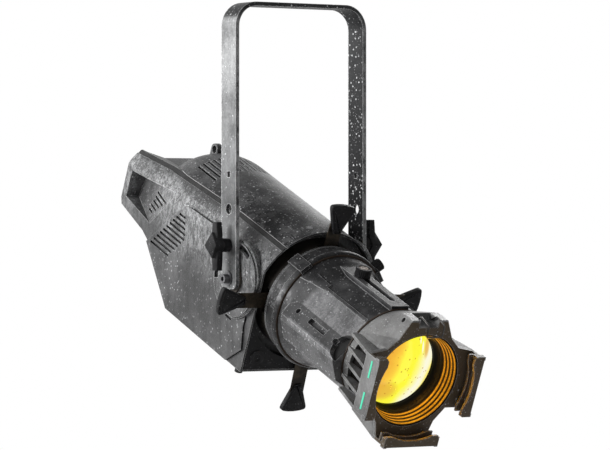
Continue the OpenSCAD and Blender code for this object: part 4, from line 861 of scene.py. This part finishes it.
def clip_stripe(name, low, high, finish):
    """Thin printed bar on the outer face of the left frame clip."""
    thickness, width, ahead, sunk = 0.0005, 0.0034, 0.3280, 0.00005
    middle = (-CLIP_OUT - thickness / 2 + sunk, (low + high) / 2, ahead)
    mesh = bmesh.new()
    block(mesh, (thickness, high - low, width), middle)
    round_edges(mesh, [e for e in mesh.edges if e.calc_length() < 2 * thickness], 0.0005)
    settle(mesh, name, "lens", "cap_paint", finish)


def seal_ring(name, radius, back, front, body, finish):
    """Dark brown seal, seen as a thin line round the barrel."""
    inside = radius - SEAL_DEPTH
    mesh = bmesh.new()
    turned(mesh, [(inside, back), (radius, back), (radius, front), (inside, front)], (0, 0, 1))
    settle(mesh, name, body, "rubber", finish)


def collar_band(finish):
    """Rounded band round the back of the barrel, between its clamps."""
    inside = 0.0822
    profile = [(inside, COLLAR_BACK), (0.0850, COLLAR_BACK), (0.0862, 0.0925), (0.0864, 0.0950),
               (0.0858, 0.0980), (0.0846, 0.0998), (0.0834, COLLAR_FRONT), (inside, COLLAR_FRONT)]
    mesh = bmesh.new()
    turned(mesh, profile, (0, 0, 1))
    settle(mesh, "collar_band", "barrel", "barrel_paint", finish)


def knob_top(finish):
    """Turned metal disc with two grooves, in the dish on top of the focus knob."""
    dish = 0.002
    floor = FOCUS_KNOB_TOP - dish
    profile = [(0.0, 0.0014), (0.0022, 0.0014), (0.0027, 0.0007), (0.0034, 0.0007), (0.0039, 0.0016),
               (0.0054, 0.0016), (0.0059, 0.0007), (0.0064, 0.0007), (0.0068, 0.0014), (0.0077, 0.0012),
               (0.0077, 0.0), (0.0, 0.0)]
    mesh = bmesh.new()
    turned(mesh, [(radius, floor + height) for radius, height in profile], (0, 1, 0))
    bmesh.ops.translate(mesh, verts=mesh.verts, vec=(0, 0, FOCUS_KNOB_AHEAD))
    settle(mesh, "knob_top", "focus_knob", "steel", finish)


def scoop_shade_sheet(side, sign, finish):
    """Black sheet on the floor of the scoop at the front of a barrel pod, painted shade in the recess."""
    thickness, gap = 0.0008, 0.0004
    ahead = BARREL_FRONT - POD_MID.z - gap
    mesh = bmesh.new()
    bmesh.ops.create_circle(mesh, cap_ends=True, radius=SCOOP_R, segments=64)
    every = mesh.verts[:] + mesh.edges[:] + mesh.faces[:]
    bmesh.ops.bisect_plane(mesh, geom=every, plane_co=(ahead, 0, 0), plane_no=(1, 0, 0), clear_outer=True)
    raise_faces(mesh, mesh.faces[:], thickness)
    lay = Matrix(((0, 0, 1, 0), (0, 1, 0, 0), (1, 0, 0, 0), (0, 0, 0, 1)))
    seat = (Matrix.Translation(POD_MID) @ Matrix.Rotation(POD_SLANT, 4, "Z")
            @ Matrix.Translation((-SCOOP_DEPTH, 0, 0)) @ lay)
    place = OPTIC @ Matrix.Scale(sign, 4, (1, 0, 0)) @ seat
    settle(mesh, "scoop_shade_sheet_" + side, "barrel", "rubber", finish, place=place)


def make_pieces(finishes):
    """The pieces that the scene adds to the solids or puts in their place."""
    shutters = (("top", 86, 0.035), ("left", 180, 0.020), ("bottom", 272.5, 0.008), ("right", -1.5, 0.0))
    for side, angle, push in shutters:
        shutter_grip(side, angle, push, finishes["black_plastic"])
    for side, sign in (("left", -1), ("right", 1)):
        tee_knob(side, sign, finishes["black_plastic"])
        scoop_shade_sheet(side, sign, finishes["scoop_shade"])
    latch_wire(finishes["wire"])
    seal_ring("cap_seal", 0.0721, BARREL_FRONT + 0.0005, BARREL_FRONT + 0.0028, "lens", finishes["seal"])
    seal_ring("collar_seal", 0.0836, COLLAR_FRONT - 0.0004, COLLAR_FRONT + 0.0010, "barrel", finishes["seal"])
    collar_band(finishes["barrel_paint"])
    knob_top(finishes["knob_metal"])
    clip_stripe("clip_stripe_upper", 0.0110, 0.0350, finishes["stripe"])
    clip_stripe("clip_stripe_lower", -0.0335, -0.0095, finishes["stripe"])


# Stage and light

def seen_directly(net):
    """1 where the camera, a reflection or a view through glass meets the background."""
    path = net.add("ShaderNodeLightPath").outputs
    return net.larger(path["Is Camera Ray"], path["Is Glossy Ray"], path["Is Transmission Ray"])


def floor_white(name):
    """Pale to the lamps. To the camera, white with some shadow near the light and plain white far off."""
    f = Finish(name)
    f.set("Base Color", (0.82, 0.82, 0.82, 1))
    f.set("Roughness", 0.9)
    near, far, shaded = 1.0, 4.0, 0.95
    away = f.add("ShaderNodeVectorMath", operation="LENGTH")
    f.join(f.place, away.inputs[0])
    share = f.times(seen_directly(f), f.line(away.outputs["Value"], near, far, shaded, 1.0))
    glow = f.add("ShaderNodeEmission")
    glow.inputs["Color"].default_value = WHITE
    f.blend(share, f.shader.outputs[0], glow.outputs[0], "Material Output")
    return f.material


def set_floor():
    mesh = bmesh.new()
    bmesh.ops.create_grid(mesh, x_segments=2, y_segments=2, size=FLOOR_HALF)
    bmesh.ops.translate(mesh, verts=mesh.verts, vec=(0, 0, FLOOR_LEVEL))
    data = bpy.data.meshes.new("floor")
    mesh.to_mesh(data)
    mesh.free()
    floor = bpy.data.objects.new("floor", data)
    bpy.context.scene.collection.objects.link(floor)
    data.materials.append(floor_white("floor_white"))


def set_world():
    """A faint even light, seen as plain white."""
    world = bpy.data.worlds.new("studio")
    bpy.context.scene.world = world
    world.use_nodes = True
    net = Nodes(world.node_tree)
    light = net.tree.nodes["Background"]
    light.inputs["Color"].default_value = WHITE
    light.inputs["Strength"].default_value = 0.16
    seen = net.add("ShaderNodeBackground")
    seen.inputs["Color"].default_value = WHITE
    seen.inputs["Strength"].default_value = 1.0
    net.blend(seen_directly(net), light.outputs[0], seen.outputs[0], "World Output")


def lamp(name, place, aim, width, height, power, colour=(1, 1, 1)):
    data = bpy.data.lights.new(name, "AREA")
    data.shape = "RECTANGLE"
    data.size = width
    data.size_y = height
    data.energy = power
    data.color = colour
    shown = bpy.data.objects.new(name, data)
    bpy.context.scene.collection.objects.link(shown)
    shown.location = place
    shown.rotation_euler = (Vector(aim) - Vector(place)).to_track_quat("-Z", "Y").to_euler()
    shown.visible_camera = False
    return shown


def set_lamps():
    """Softboxes to the left and behind, a rim light at the right, a weak fill, and the lens's own light."""
    lamp("key_softbox", (-2.1, 0.5, 0.5), (0, 0, -0.35), width=1.0, height=1.0, power=62)
    lamp("sheen_softbox", (-1.3, 1.9, 0.55), (0, 0, -0.25), width=0.9, height=0.8, power=30)
    lamp("right_rim", (1.9, 1.4, 1.0), (0, 0, -0.35), width=0.6, height=1.0, power=21)
    lamp("front_fill", (-0.8, -3.2, 0.3), (0, -0.1, -0.4), width=2.0, height=1.6, power=6)
    face = OPTIC @ Vector((0, 0, LENS_AHEAD))
    beam = OPTIC @ Vector((0, 0, 0.6))
    glow = lamp("lens_light", face, beam, width=0.075, height=0.075, power=0.5, colour=(1.0, 0.46, 0.03))
    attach(glow, "lens")


place_camera()
finishes = make_finishes()
finish_nodes(finishes)
make_pieces(finishes)
set_floor()
set_world()
set_lamps()

bpy.context.scene.view_settings.view_transform = "Standard"
